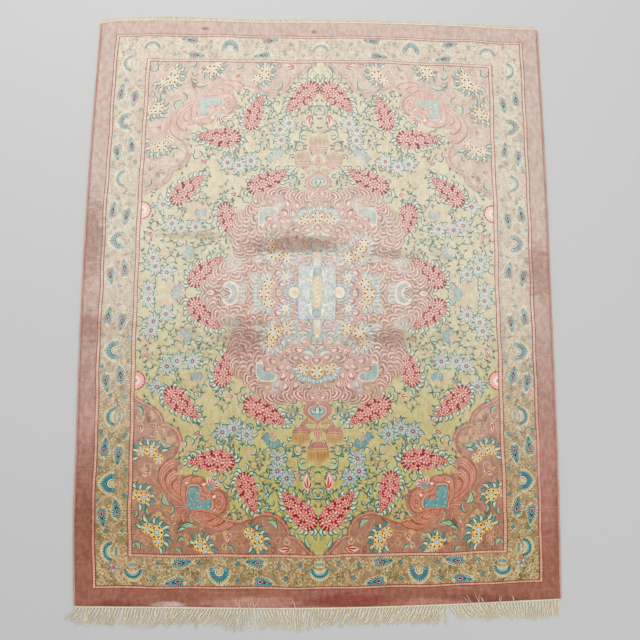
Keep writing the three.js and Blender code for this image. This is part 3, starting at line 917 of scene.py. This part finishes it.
def inside(points, outline):
    """Winding count: the outline's edges that cross the ray towards +X from a point, signed by their way."""
    a, b = outline, np.roll(outline, -1)
    p = points[:, None]
    side = (np.conj(b - a) * (p - a)).imag
    rises = (a.imag <= p.imag) & (b.imag > p.imag) & (side > 0)
    falls = (b.imag <= p.imag) & (a.imag > p.imag) & (side < 0)
    return rises.sum(1) != falls.sum(1)


def shelf_key(p):
    """A number that rises with x along each shelf SHELF deep, and from shelf to shelf."""
    return np.floor(p.imag / SHELF) * SHELF_STEP + p.real


def within(points, keys, outline):
    """The points inside an outline, searched for on the shelves that its box touches; keys rise. Corners
    on a straight run of the outline are left out of the test."""
    shelves = np.arange(outline.imag.min() // SHELF, outline.imag.max() // SHELF + 1) * SHELF_STEP
    low = np.searchsorted(keys, shelves + outline.real.min())
    high = np.searchsorted(keys, shelves + outline.real.max())
    near = np.concatenate([np.arange(a, b) for a, b in zip(low, high)])
    ahead = np.roll(outline, -1) - outline
    outline = outline[np.abs((np.conj(ahead) * np.roll(ahead, 1)).imag) > 1e-6]
    parts = np.array_split(near, 1 + near.size * len(outline) // AT_ONCE)
    return np.concatenate([part[inside(points[part], outline)] for part in parts])


def top_marks(points, marks):
    """For each point, the last mark round it that may show in its zone; the last zone outline round it
    gives its zone."""
    order = np.argsort(shelf_key(points))
    points = points[order]
    keys = shelf_key(points)
    zone = np.zeros(len(points), int)
    for outline, _, zones in marks:
        if zones & OPENS:
            zone[within(points, keys, outline)] = zones & ~OPENS
    top = np.full(len(points), -1)
    for k, (outline, _, zones) in enumerate(marks):
        held = within(points, keys, outline)
        top[held[(zone[held] & zones) > 0]] = k
    result = np.empty(len(points), int)
    result[order] = top
    return result


def triangulate(points, edges):
    """Constrained triangles over points and edges, as corner places, corner numbers and middles."""
    result = delaunay_2d_cdt([Vector((p.real, p.imag)) for p in points], edges.tolist(), [], 0, CLOSE, False)
    place = np.array([(v.x, v.y) for v in result[0]]) @ np.array([1, 1j])
    triangle = np.array(result[2])
    return place, triangle, place[triangle].mean(1)


def quarter_mesh():
    """Cuts all outlines against each other, drops the marks of which less than LEAST_SHOWN shows, and cuts
    again along the edges at which the dye or the strip changes."""
    rims = [np.array([a, b, b + 1j * HALF_LENGTH, a + 1j * HALF_LENGTH]) for a, b in zip(SEAMS, SEAMS[1:])]
    outlines = [m[0] for m in MARKS] + rims
    sizes = np.array([len(o) for o in outlines])
    starts = np.repeat(np.cumsum(sizes) - sizes, sizes)
    corner = np.arange(sizes.sum())
    following = starts + (corner - starts + 1) % np.repeat(sizes, sizes)
    place, triangle, middle = triangulate(np.concatenate(outlines), np.stack([corner, following], 1))
    a, b, c = place[triangle].T
    area = 0.5 * np.abs((np.conj(b - a) * (c - a)).imag)
    top = top_marks(middle, MARKS)
    shown = np.bincount(top[top >= 0], area[top >= 0], len(MARKS))
    seen = [m for k, m in enumerate(MARKS) if shown[k] > LEAST_SHOWN or m[2] & OPENS]
    dye_of = np.array([m[1] for m in seen] + [-1])

    def look_up(spots):
        """The dye and the strip at each spot; the dye is -1 off the quarter."""
        x, y = spots.real, spots.imag
        on_quarter = (x > 0) & (y > 0) & (x < HALF_WIDTH) & (y < HALF_LENGTH)
        dye = np.where(on_quarter, dye_of[top_marks(spots, seen)], -1)
        return dye, np.searchsorted(SEAMS[1:-1], spots.real)

    dye, side = look_up(middle)
    kind = np.where(dye >= 0, dye * len(SEAMS) + side, -1)
    edge = np.sort(np.concatenate([triangle[:, (0, 1)], triangle[:, (1, 2)], triangle[:, (2, 0)]]), 1)
    kinds = np.concatenate([kind] * 3)
    order = np.lexsort((edge[:, 1], edge[:, 0]))
    edge, kinds = edge[order], kinds[order]
    same = (edge[1:] == edge[:-1]).all(1)
    alone = ~(np.append(same, False) | np.append(False, same))
    differs = np.append(same & (kinds[1:] != kinds[:-1]), False) | (alone & (kinds >= 0))
    visible = edge[differs]
    used, local = np.unique(visible, return_inverse=True)
    across = np.arange(1, CELLS_ACROSS) * HALF_WIDTH / CELLS_ACROSS
    along = np.arange(1, CELLS_ALONG) * HALF_LENGTH / CELLS_ALONG
    weave = (across[:, None] + 1j * along[None, :]).ravel()
    place, triangle, middle = triangulate(np.concatenate([place[used], weave]), local.reshape(-1, 2))
    dye, side = look_up(middle)
    keep = dye >= 0
    return np.stack([place.real, place.imag], 1), triangle[keep], dye[keep], side[keep]


def linear(rgb):
    """Display values, 0 to 255, as linear light."""
    c = np.array(rgb, float) / 255
    return np.where(c <= 0.04045, c / 12.92, ((c + 0.055) / 1.055) ** 2.4)


# Meshes
def fill_mesh(name, corners, faces):
    """Puts whole arrays of corners and equal-sided faces into a new mesh."""
    mesh = bpy.data.meshes.new(name)
    sides = faces.shape[1]
    mesh.vertices.add(len(corners))
    mesh.vertices.foreach_set("co", np.asarray(corners, np.float32).ravel())
    mesh.loops.add(faces.size)
    mesh.loops.foreach_set("vertex_index", faces.ravel().astype(np.int32))
    mesh.polygons.add(len(faces))
    mesh.polygons.foreach_set("loop_start", np.arange(0, faces.size, sides, dtype=np.int32))
    mesh.polygons.foreach_set("use_smooth", np.ones(len(faces), bool))
    mesh.update(calc_edges=True)
    mesh.validate()
    return mesh


def piece(name, corners, faces, material, node):
    """A finished piece: its mesh, its finish, and the node it stands for."""
    made = bpy.data.objects.new(name, fill_mesh(name, corners, faces))
    bpy.context.scene.collection.objects.link(made)
    made.data.materials.append(material)
    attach(made, "root")
    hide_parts(node)
    return made


def unroll(made, u, v):
    """Gives the piece its own flat layout, one pair of numbers per mesh corner."""
    layer = made.data.uv_layers.new(name="OFBake")
    corner = np.empty(len(made.data.loops), np.int32)
    made.data.loops.foreach_get("vertex_index", corner)
    layer.data.foreach_set("uv", np.stack([u[corner], v[corner]], 1).astype(np.float32).ravel())


def hand_made(p):
    """The small wander of hand work: slow sines across and along, at most about 2 mm."""
    x, y = p.real, p.imag
    across = 1.1 * np.sin(y / 61 + 1.0) * np.sin(x / 47 + 0.4) + 0.7 * np.sin(y / 23 + x / 31)
    along = 1.1 * np.sin(x / 53 + 2.0) * np.sin(y / 71 + 1.3) + 0.7 * np.sin(x / 27 - y / 37)
    return p + across * calm_rim(p) + 1j * along * calm_rim(p)


def calm_rim(p):
    """1 inside the rug, falling to 0 over the last 30 mm to each edge."""
    room = np.minimum(HALF_WIDTH - np.abs(p.real), HALF_LENGTH - np.abs(p.imag))
    return np.clip(room / 30, 0, 1)


def knot_pile(material):
    """Six strips of pile, each as long as the rug, from the quarter mirrored across and along."""
    draw_quarter()
    place, triangle, dye, side = quarter_mesh()
    palette = np.array([linear(DYES[name]) for name in DYE_NAMES])
    room = np.minimum(HALF_WIDTH - place[:, 0], HALF_LENGTH - place[:, 1])
    droop = RIM_DROP * (1 - np.sqrt(1 - (1 - np.clip(room / RIM_REACH, 0, 1)) ** 2))
    strips = []
    for name, flip, part in (("pile_far_left", -1, 2), ("pile_left", -1, 1), ("pile_middle_left", -1, 0),
                             ("pile_middle_right", 1, 0), ("pile_right", 1, 1), ("pile_far_right", 1, 2)):
        low, high = SEAMS[part], SEAMS[part + 1]
        mine = triangle[side == part]
        used, local = np.unique(mine, return_inverse=True)
        local = local.reshape(mine.shape)
        corners, faces, tints, us, vs = [], [], [], [], []
        for k, end in enumerate((-1, 1)):
            straight = hand_made(flip * place[used, 0] + 1j * end * place[used, 1])
            laid = on_rug(straight)
            corners.append(to_frame(laid, PILE_TOP + ripple(laid) - droop[used]))
            turned = local if flip * end > 0 else local[:, ::-1]
            faces.append(turned + k * len(used))
            tints.append(palette[dye[side == part]])
            us.append((place[used, 0] - low) / (high - low) * 0.49 + LAYOUT_MARGIN + 0.5 * k)
            vs.append(place[used, 1] / HALF_LENGTH * 0.99 + LAYOUT_MARGIN)
        made = piece(name, np.concatenate(corners), np.concatenate(faces), material, "rug_body")
        dyes = made.data.attributes.new("dye", "FLOAT_COLOR", "FACE")
        tints = np.concatenate(tints)
        opaque = np.concatenate([tints, np.ones((len(tints), 1))], 1)
        dyes.data.foreach_set("color", opaque.astype(np.float32).ravel())
        unroll(made, np.concatenate(us), np.concatenate(vs))
        strips.append(made)
    return strips


def woven_ground(material):
    """The woven sheet: an upper and an under grid that meet in a rounded rim all round."""
    inset = np.array([0, 0.4, 1.2, 2.4])
    across = np.concatenate([-HALF_WIDTH + inset, np.linspace(-HALF_WIDTH + 20, HALF_WIDTH - 20, 40),
                             HALF_WIDTH - inset[::-1]])
    along = np.concatenate([-HALF_LENGTH + inset, np.linspace(-HALF_LENGTH + 20, HALF_LENGTH - 20, 50),
                            HALF_LENGTH - inset[::-1]])
    x, y = np.meshgrid(across, along)
    laid = on_rug(x + 1j * y)
    room = np.clip(np.minimum(HALF_WIDTH - np.abs(x), HALF_LENGTH - np.abs(y)) / inset[-1], 0, 1)
    round_off = np.sqrt(1 - (1 - room) ** 2)
    rows, columns = x.shape
    index = np.arange(rows * columns).reshape(rows, columns)
    quads = np.stack([index[:-1, :-1], index[:-1, 1:], index[1:, 1:], index[1:, :-1]], -1).reshape(-1, 4)
    rim = (room == 0).ravel()
    under = np.where(rim, index.ravel(), index.ravel() + rows * columns)
    upper = GROUND_RIM + (GROUND_TOP + ripple(laid) - GROUND_RIM) * round_off
    upper_side = to_frame(laid, upper).reshape(-1, 3)
    under_side = to_frame(laid, GROUND_RIM * (1 - round_off)).reshape(-1, 3)
    faces = np.concatenate([quads, under[quads[:, ::-1]]])
    used, local = np.unique(faces, return_inverse=True)
    corners = np.concatenate([upper_side, under_side])[used]
    return piece("rug_ground", corners, local.reshape(faces.shape), material, "rug_body")


def tubes(paths, radii, sides, squash=1.0):
    """Round threads along many paths at once, open at both ends: at each step a ring of corners stands
    square to the path, its radius as given and its height times squash."""
    turn = np.gradient(paths, axis=1)
    turn /= np.linalg.norm(turn, axis=2, keepdims=True)
    across = np.cross(turn, [0, 0, 1.0])
    across /= np.linalg.norm(across, axis=2, keepdims=True)
    up = np.cross(across, turn)
    angle = 2 * np.pi * np.arange(sides) / sides + np.pi / sides
    ring = (np.cos(angle)[:, None] * across[:, :, None] + squash * np.sin(angle)[:, None] * up[:, :, None])
    corners = paths[:, :, None] + radii[:, :, None, None] * ring
    count, steps = paths.shape[:2]
    index = np.arange(count * steps * sides).reshape(count, steps, sides)
    a, b = index[:, :-1], index[:, 1:]
    quads = np.stack([a, b, np.roll(b, -1, 2), np.roll(a, -1, 2)], -1).reshape(-1, 4)
    return corners.reshape(-1, 3), quads


def side_cord(name, sign, material):
    """Overcast edge: a flattened round cord that follows the bowed side, swelling a little as it goes."""
    along = np.linspace(-HALF_LENGTH + 1, HALF_LENGTH - 1, EDGE_STEPS)
    edge = on_rug(sign * HALF_WIDTH + 1j * along)
    laid = edge + sign * (SEAM_GAP + CORD_WIDTH / 2)
    swell = 1 + 0.05 * np.sin(along / 3.1) + 0.04 * np.sin(along / 17)
    swell[[0, -1]] *= 0.45
    path = to_frame(laid, CORD_HEIGHT / 2)[None]
    radii = (CORD_WIDTH / 2 * MM * swell)[None]
    corners, faces = tubes(path, radii, CORD_SIDES, CORD_HEIGHT / CORD_WIDTH)
    start, end = np.arange(CORD_SIDES), np.arange(len(corners) - CORD_SIDES, len(corners))
    caps = [[r[0], r[k], r[k + 1], r[k + 2]] for r in (start, end[::-1]) for k in (1, 3, 5, 7)]
    return piece(name, corners, np.concatenate([faces, np.array(caps)]), material, name)


def end_strip(sign, width):
    """Flat-woven band just beyond the pile: a low section, six corners round, along the bowed end."""
    edge = on_rug(np.linspace(-HALF_WIDTH, HALF_WIDTH, EDGE_STEPS) + 1j * sign * HALF_LENGTH)
    profile = [
        (SEAM_GAP, 0.1), (SEAM_GAP + 0.5, 2.0), (width * 0.4, BAND_HEIGHT), (width * 0.8, 2.0),
        (width, 0.9), (width, 0.1),
    ]
    rings = np.stack([to_frame(edge + 1j * sign * out, height) for out, height in profile], 1)
    steps, sides = rings.shape[:2]
    index = np.arange(steps * sides).reshape(steps, sides)
    a, b = index[:-1], index[1:]
    quads = np.stack([a, np.roll(a, -1, 1), np.roll(b, -1, 1), b], -1).reshape(-1, 4)
    caps = np.array([[index[e, i] for i in ring] for e in (0, -1) for ring in ((0, 1, 2, 3), (0, 3, 4, 5))])
    caps[:2] = caps[:2, ::-1]
    faces = np.concatenate([quads, caps])
    return rings.reshape(-1, 3), faces if sign < 0 else faces[:, ::-1]


def comb_at(comb, x):
    """Lean and length of the fringe at places along an end, read between the rows of its table."""
    return np.interp(x, comb[:, 0], comb[:, 1]), np.interp(x, comb[:, 0], comb[:, 2])


def fringe_threads(sign, comb, steps, rng, radius, band):
    """Paths of the fringe: each thread leaves its bunch along the combed lean, which grows from a little
    over half at the root to a fifth more at the tip, wanders a little and sinks to the floor."""
    bunch = np.repeat(np.linspace(-FIRST_BUNCH, FIRST_BUNCH, BUNCHES), BUNCH_THREADS)
    x = bunch + rng.normal(0, 0.9, bunch.size)
    lean, length = comb_at(comb, x)
    lean = lean + rng.normal(0, 4.5, bunch.size) + np.repeat(rng.standard_t(3, BUNCHES) * 3.5, BUNCH_THREADS)
    own = rng.normal(0, 0.07, bunch.size)
    bunched = np.repeat(rng.normal(0, 0.05, BUNCHES), BUNCH_THREADS)
    length = length * (1 + own + bunched)
    t = np.linspace(0, 1, steps)[None, :]
    sway = rng.normal(0, 9, (bunch.size, 1)) * np.sin(2.4 * t + rng.uniform(0, 6, (bunch.size, 1)))
    angle = np.radians(np.clip(lean[:, None] * (0.55 + 0.65 * t) + sway, -86, 86))
    pace = length[:, None] / (steps - 1)
    step = (np.sin(angle) + 1j * sign * np.cos(angle)) * pace
    path = np.cumsum(np.concatenate([np.zeros((bunch.size, 1)), step[:, :-1]], 1), 1)
    edge = on_rug(np.clip(x, -HALF_WIDTH, HALF_WIDTH) + 1j * sign * HALF_LENGTH) + 1j * sign * (band - 1.2)
    height = 0.5 + radius + (1.4 * (1 - t) ** 2) + rng.uniform(0, 1.3, (bunch.size, 1)) * np.sin(np.pi * t)
    thick = radius * (1 - 0.45 * t**2) * rng.uniform(0.8, 1.2, (bunch.size, 1))
    return to_frame(edge[:, None] + path, height), thick * MM


def flipped_threads(rng, radius):
    """Paths of loose threads that fold back over the rug's near end and lie on the pile."""
    places = [-196.0, -177.0, -168.0, -60.0, 380.0, 402.0, 412.0, 458.0, 492.0]
    x = np.repeat(places, 2) + rng.normal(0, 3, 18)
    t = np.linspace(0, 1, 9)[None, :]
    reach = rng.uniform(12, 24, (18, 1))
    lean = np.tan(np.radians(rng.normal(-14, 18, (18, 1))))
    edge = on_rug(x - 1j * HALF_LENGTH)[:, None]
    inwards = -NEAR_BAND + (reach + NEAR_BAND) * t
    height = np.interp(inwards, [-NEAR_BAND, -1.0, 2.0, 6.0, 30.0], [2.4, 4.2, 6.3, 6.4, 6.0])
    path = edge + 1j * inwards + lean * reach * t**1.5
    thick = radius * MM * (1 - 0.4 * t**2) * np.ones((18, 1))
    return to_frame(path, height + 0.3 * rng.random((18, 1))), thick


def fringe(name, sign, comb, steps, radius, band, seed, material):
    """One end: the flat-woven band, a knot at each bunch and the threads that leave it."""
    rng = np.random.default_rng(seed)
    parts = [end_strip(sign, band)]
    parts.append(tubes(*fringe_threads(sign, comb, steps, rng, radius, band), 4))
    if sign < 0:
        parts.append(tubes(*flipped_threads(rng, radius), 4))
    x = np.linspace(-FIRST_BUNCH, FIRST_BUNCH, BUNCHES)
    edge = on_rug(x + 1j * sign * HALF_LENGTH) + 1j * sign * (band - 1.6)
    run = np.linspace(-1, 1, 5)[None, :]
    knots = to_frame(edge[:, None] + 1j * sign * run * 2.4, 1.7)
    parts.append(tubes(knots, 1.9 * MM * np.sqrt(1.02 - run**2) * np.ones((BUNCHES, 1)), 6, 0.75))
    corners = np.concatenate([p[0] for p in parts])
    offset = np.cumsum([0] + [len(p[0]) for p in parts[:-1]])
    faces = np.concatenate([p[1] + o for p, o in zip(parts, offset)])
    return piece(name, corners, faces, material, name)


# Finishes
def socket(owner, name, kind, way, default=None):
    """Adds a named input or output to a node group."""
    made = owner.interface.new_socket(name=name, in_out=way, socket_type=kind)
    if default is not None:
        made.default_value = default
    return made


def node(tree, kind, links=(), **settings):
    """Adds a node; links is a list of (socket, value or another node's output)."""
    made = tree.nodes.new(kind)
    for key, value in settings.items():
        setattr(made, key, value)
    for key, value in links:
        if isinstance(value, bpy.types.NodeSocket):
            tree.links.new(value, made.inputs[key])
        else:
            made.inputs[key].default_value = value
    return made


def math(tree, operation, a, b, c=None):
    """A sum on values; only one that adds at the end has the third term."""
    links = [(0, a), (1, b)] + ([] if c is None else [(2, c)])
    return node(tree, "ShaderNodeMath", links, operation=operation).outputs[0]


def vector(tree, operation, a, b=None):
    """A sum on vectors."""
    links = [(0, a)] + ([] if b is None else [(1, b)])
    return node(tree, "ShaderNodeVectorMath", links, operation=operation)


def mix(tree, amount, a, b, blend="MIX"):
    """Two colours mixed by an amount."""
    made = node(tree, "ShaderNodeMix", [(0, amount), (6, a), (7, b)], data_type="RGBA", blend_type=blend)
    return made.outputs[2]


def span(tree, value, low, high, out_low=0.0, out_high=1.0):
    """Carries a value smoothly from one range to another."""
    made = node(tree, "ShaderNodeMapRange", [(0, value), (1, low), (2, high), (3, out_low), (4, out_high)],
                interpolation_type="SMOOTHSTEP")
    return made.outputs[0]


def noise(tree, place, scale, detail=2.0, stretch=None):
    """Cloudy noise, stretched first if asked."""
    if stretch:
        place = node(tree, "ShaderNodeMapping", [("Vector", place), ("Scale", stretch)]).outputs[0]
    links = [("Vector", place), ("Scale", scale), ("Detail", detail)]
    return node(tree, "ShaderNodeTexNoise", links).outputs[0]


def tone_of(rgb):
    """Display values, 0 to 255, as the four numbers of a colour socket."""
    return (*linear(rgb), 1.0)


def grey(tree, value):
    """A value as a grey colour."""
    return node(tree, "ShaderNodeCombineColor", [(0, value), (1, value), (2, value)]).outputs[0]


def thread_grain():
    """Shared thread grain: fine noise drawn out one way, as a mask and as a height."""
    group = bpy.data.node_groups.new("thread_grain", "ShaderNodeTree")
    socket(group, "Fineness", "NodeSocketFloat", "INPUT", 900.0)
    socket(group, "Stretch", "NodeSocketVector", "INPUT", (1.0, 1.0, 1.0))
    socket(group, "Mask", "NodeSocketFloat", "OUTPUT")
    socket(group, "Height", "NodeSocketFloat", "OUTPUT")
    start = node(group, "NodeGroupInput")
    end = node(group, "NodeGroupOutput")
    place = node(group, "ShaderNodeTexCoord").outputs["Object"]
    drawn = vector(group, "MULTIPLY", place, start.outputs["Stretch"]).outputs[0]
    fine = noise(group, drawn, start.outputs["Fineness"])
    group.links.new(span(group, fine, 0.3, 0.7), end.inputs["Mask"])
    group.links.new(fine, end.inputs["Height"])
    return group


def principled(material, links):
    """Gives a finish its shader."""
    tree = material.node_tree
    shader = node(tree, "ShaderNodeBsdfPrincipled", links)
    out = node(tree, "ShaderNodeOutputMaterial")
    tree.links.new(shader.outputs[0], out.inputs[0])


def new_finish(name):
    """An empty finish."""
    material = bpy.data.materials.new(name)
    material.use_nodes = True
    material.node_tree.nodes.clear()
    return material


def shared(tree, group, values):
    """Puts a shared node group into a finish, its inputs set by name."""
    made = node(tree, "ShaderNodeGroup", node_tree=group)
    for key, value in values.items():
        made.inputs[key].default_value = value
    return made


def ragged_patch():
    """Shared patch: a mask that is 1 inside an ellipse and fades out over a torn, streaky rim."""
    group = bpy.data.node_groups.new("ragged_patch", "ShaderNodeTree")
    socket(group, "Centre", "NodeSocketVector", "INPUT", (0.0, 0.0, 0.0))
    socket(group, "Size", "NodeSocketVector", "INPUT", (1.0, 1.0, 1.0))
    socket(group, "Mask", "NodeSocketFloat", "OUTPUT")
    start = node(group, "NodeGroupInput")
    end = node(group, "NodeGroupOutput")
    place = node(group, "ShaderNodeTexCoord").outputs["Object"]
    flat = vector(group, "MULTIPLY", place, (1.0, 1.0, 0.0)).outputs[0]
    away = vector(group, "SUBTRACT", flat, start.outputs["Centre"]).outputs[0]
    scaled = vector(group, "DIVIDE", away, start.outputs["Size"]).outputs[0]
    reach = vector(group, "LENGTH", scaled).outputs["Value"]
    torn = noise(group, place, 1.0, 4.0, (30.0, 110.0, 1.0))
    broken = math(group, "MULTIPLY_ADD", torn, 1.5, reach)
    group.links.new(span(group, broken, 1.2, 1.9, 1.0, 0.0), end.inputs["Mask"])
    return group


# Crushed places of the pile, painted darker as shade or paler as sheen, and a few small stains: middle, half
# sizes in metres, strength, tone
CRUSHED_SHADE_SHEEN_AND_STAINS = [
    (-0.060, 0.168, 0.150, 0.030, 0.55, (140, 92, 62)), (-0.205, -0.045, 0.070, 0.018, 0.35, (150, 106, 78)),
    (0.200, 0.140, 0.110, 0.014, 0.25, (150, 108, 82)), (-0.330, 0.190, 0.120, 0.014, 0.35, (176, 156, 118)),
    (-0.607, 0.180, 0.040, 0.130, 0.45, (150, 100, 78)), (-0.600, -0.060, 0.045, 0.050, 0.40, (156, 104, 84)),
    (-0.195, -0.095, 0.070, 0.050, 0.40, (150, 98, 80)), (0.205, -0.085, 0.060, 0.034, 0.30, (150, 104, 90)),
    (0.600, 0.095, 0.045, 0.090, 0.45, (158, 106, 86)), (0.140, -0.090, 0.110, 0.016, 0.22, (160, 120, 96)),
    (-0.372, -0.762, 0.050, 0.016, 0.75, (232, 208, 198)),
    (-0.170, -0.752, 0.130, 0.018, 0.55, (214, 160, 146)),
    (0.080, -0.750, 0.120, 0.020, 0.60, (136, 50, 40)), (0.300, -0.756, 0.100, 0.014, 0.50, (206, 150, 136)),
    (0.450, -0.752, 0.090, 0.016, 0.50, (124, 62, 50)), (-0.510, -0.756, 0.070, 0.018, 0.60, (126, 62, 48)),
    (-0.590, -0.560, 0.040, 0.120, 0.35, (136, 84, 60)), (0.592, -0.420, 0.040, 0.160, 0.35, (206, 156, 142)),
    (-0.594, -0.300, 0.035, 0.070, 0.35, (214, 170, 156)), (-0.012, 0.778, 0.008, 0.006, 0.5, (110, 70, 60)),
    (-0.316, 0.783, 0.012, 0.006, 0.5, (110, 70, 60)), (-0.248, 0.362, 0.008, 0.008, 0.5, (112, 78, 60)),
    (0.360, -0.745, 0.070, 0.010, 0.45, (120, 60, 48)), (-0.040, -0.768, 0.100, 0.008, 0.45, (218, 170, 158)),
]


def pile_finish(grain, patch):
    """Cut silk pile: the drawn dyes, with painted sheen that makes them paler up the rug, uneven rows of
    painted shade and painted sheen, crushed places painted darker as shade or paler as sheen, and a few small
    stains.
    """
    material = new_finish("silk_pile_dyes_painted_sheen_and_shade")
    tree = material.node_tree
    place = node(tree, "ShaderNodeTexCoord").outputs["Object"]
    spot = node(tree, "ShaderNodeSeparateXYZ", [(0, place)])
    dye = node(tree, "ShaderNodeAttribute", attribute_name="dye").outputs["Color"]
    rows = noise(tree, place, 1.0, 3.0, (9.0, 130.0, 1.0))
    cloud = noise(tree, place, 3.2, 4.0)
    # Painted sheen: towards +Y the dyes are mixed with a pale cream, pale dyes more than dark ones, standing
    # in for the silk pile's sheen
    lifted = math(tree, "MULTIPLY_ADD", cloud, 0.22, spot.outputs["Y"])
    painted_sheen = span(tree, lifted, -0.50, 0.31)
    strength = node(tree, "ShaderNodeRGBToBW", [(0, dye)]).outputs[0]
    share = math(tree, "MULTIPLY", painted_sheen, span(tree, strength, 0.03, 0.24, 0.10, 0.56))
    tone = mix(tree, share, dye, tone_of((246, 238, 226)))
    # Uneven rows where the pile lies differently: painted shade in the darker rows and painted sheen in the
    # paler ones
    tone = mix(tree, span(tree, rows, 0.56, 0.76, 0.0, 0.12), tone, tone_of((120, 70, 52)))
    tone = mix(tree, span(tree, rows, 0.26, 0.44, 0.12, 0.0), tone, tone_of((240, 214, 196)))
    tint = span(tree, noise(tree, place, 13.0, 4.0), 0.5, 0.66, 0.0, 0.1)
    tone = mix(tree, tint, tone, tone_of((214, 158, 140)))
    # Crushed places painted as shade where darker and as sheen where paler; the smallest dark spots are
    # stains
    for x, y, wide, deep, strong, shade_sheen_stain_tone in CRUSHED_SHADE_SHEEN_AND_STAINS:
        ellipse = {"Centre": (x, y, 0.0), "Size": (wide, deep, 1.0)}
        share = math(tree, "MULTIPLY", shared(tree, patch, ellipse).outputs["Mask"], strong)
        tone = mix(tree, share, tone, tone_of(shade_sheen_stain_tone))
    fibre = shared(tree, grain, {"Fineness": 520.0, "Stretch": (1.0, 1.0, 1.0)})
    mottle = span(tree, noise(tree, place, 110.0, 3.0, (1.0, 0.55, 1.0)), 0.33, 0.67, 0.12, 0.88)
    tone = mix(tree, 0.27, tone, grey(tree, mottle), "SOFT_LIGHT")
    tone = mix(tree, 0.22, tone, grey(tree, fibre.outputs["Mask"]), "SOFT_LIGHT")
    relief = [("Strength", 0.35), ("Distance", 0.0006), ("Height", fibre.outputs["Height"])]
    bump = node(tree, "ShaderNodeBump", relief)
    rough = span(tree, cloud, 0.3, 0.7, 0.62, 0.82)
    principled(material, [("Base Color", tone), ("Roughness", rough), ("Normal", bump.outputs[0]),
                          ("Sheen Weight", 0.03), ("Sheen Roughness", 0.4), ("Specular IOR Level", 0.12)])
    return material


def yarn_finish(name, base, shade, grain, stretch, strength=0.6, sheen=0.1):
    """Plain yarn: two close tones mixed by the thread grain, with the grain as relief."""
    material = new_finish(name)
    tree = material.node_tree
    fibre = shared(tree, grain, {"Fineness": 700.0, "Stretch": stretch})
    place = node(tree, "ShaderNodeTexCoord").outputs["Object"]
    patch = span(tree, noise(tree, place, 22.0, 3.0), 0.35, 0.7, 0.0, 0.5)
    tone = mix(tree, fibre.outputs["Mask"], tone_of(shade), tone_of(base))
    aged = mix(tree, patch, tone, tone_of(shade))
    relief = [("Strength", strength), ("Distance", 0.0005), ("Height", fibre.outputs["Height"])]
    bump = node(tree, "ShaderNodeBump", relief)
    principled(material, [("Base Color", aged), ("Roughness", 0.78), ("Normal", bump.outputs[0]),
                          ("Sheen Weight", sheen), ("Sheen Roughness", 0.5), ("Specular IOR Level", 0.3)])
    return material


def look_from():
    """The photograph's view: lens, place and aim worked out from the rug's corners."""
    place = Vector((-52.7 + SHIFT.real, -245.5 + SHIFT.imag, 1585.8)) * MM
    aim = Vector((-3.1 + SHIFT.real, -58.0 + SHIFT.imag, 0.0)) * MM
    data = bpy.data.cameras.new("camera")
    data.lens, data.sensor_width = 33.75, 36.0
    camera = bpy.data.objects.new("camera", data)
    bpy.context.scene.collection.objects.link(camera)
    forward = (aim - place).normalized()
    right = Vector((0, 1, 0)).cross(-forward).normalized()
    up = (-forward).cross(right)
    camera.matrix_world = Matrix.Translation(place) @ Matrix((right, up, -forward)).transposed().to_4x4()
    bpy.context.scene.camera = camera


def soft_studio():
    """Plain pale floor, an even sky and two broad lamps."""
    scene = bpy.context.scene
    corners = np.array([(-6, -6, 0), (6, -6, 0), (6, 6, 0), (-6, 6, 0)], float)
    floor = bpy.data.objects.new("floor", fill_mesh("floor", corners, np.array([[0, 1, 2, 3]])))
    scene.collection.objects.link(floor)
    paint = new_finish("floor_paint")
    principled(paint, [("Base Color", (0.62, 0.61, 0.59, 1.0)), ("Roughness", 0.8)])
    floor.data.materials.append(paint)
    world = bpy.data.worlds.new("sky")
    world.use_nodes = True
    world.node_tree.nodes["Background"].inputs[0].default_value = (0.93, 0.96, 1.0, 1.0)
    world.node_tree.nodes["Background"].inputs[1].default_value = 0.65
    scene.world = world
    lamps = (("key", (-0.6, 2.2, 2.4), 1.8, 42.0), ("fill", (1.6, -1.4, 2.6), 2.2, 14.0))
    for name, place, size, power in lamps:
        data = bpy.data.lights.new(name, "AREA")
        data.size, data.energy = size, power
        lamp = bpy.data.objects.new(name, data)
        lamp.location = place
        lamp.rotation_euler = Vector(place).to_track_quat("Z", "Y").to_euler()
        scene.collection.objects.link(lamp)
    scene.view_settings.view_transform = "Standard"


grain = thread_grain()
look_from()
soft_studio()
ground = woven_ground(yarn_finish("woven_back", (196, 164, 132), (150, 108, 88), grain, (1.0, 3.0, 1.0)))
strips = knot_pile(pile_finish(grain, ragged_patch()))
cord_finish = yarn_finish(
    "overcast_silk_yarn", (226, 196, 176), (186, 128, 108), grain, (0.4, 3.0, 1.0), 0.8, 0.15)
cords = [side_cord("selvedge_left", -1, cord_finish), side_cord("selvedge_right", 1, cord_finish)]
ivory = yarn_finish("ivory_warp_yarn", (255, 246, 222), (232, 214, 176), grain, (1.6, 0.5, 1.0))
fringes = [fringe("fringe_near", -1, NEAR_COMB, 9, 0.85, NEAR_BAND, 5, ivory),
           fringe("fringe_far", 1, FAR_COMB, 5, 0.5, FAR_BAND, 6, ivory)]
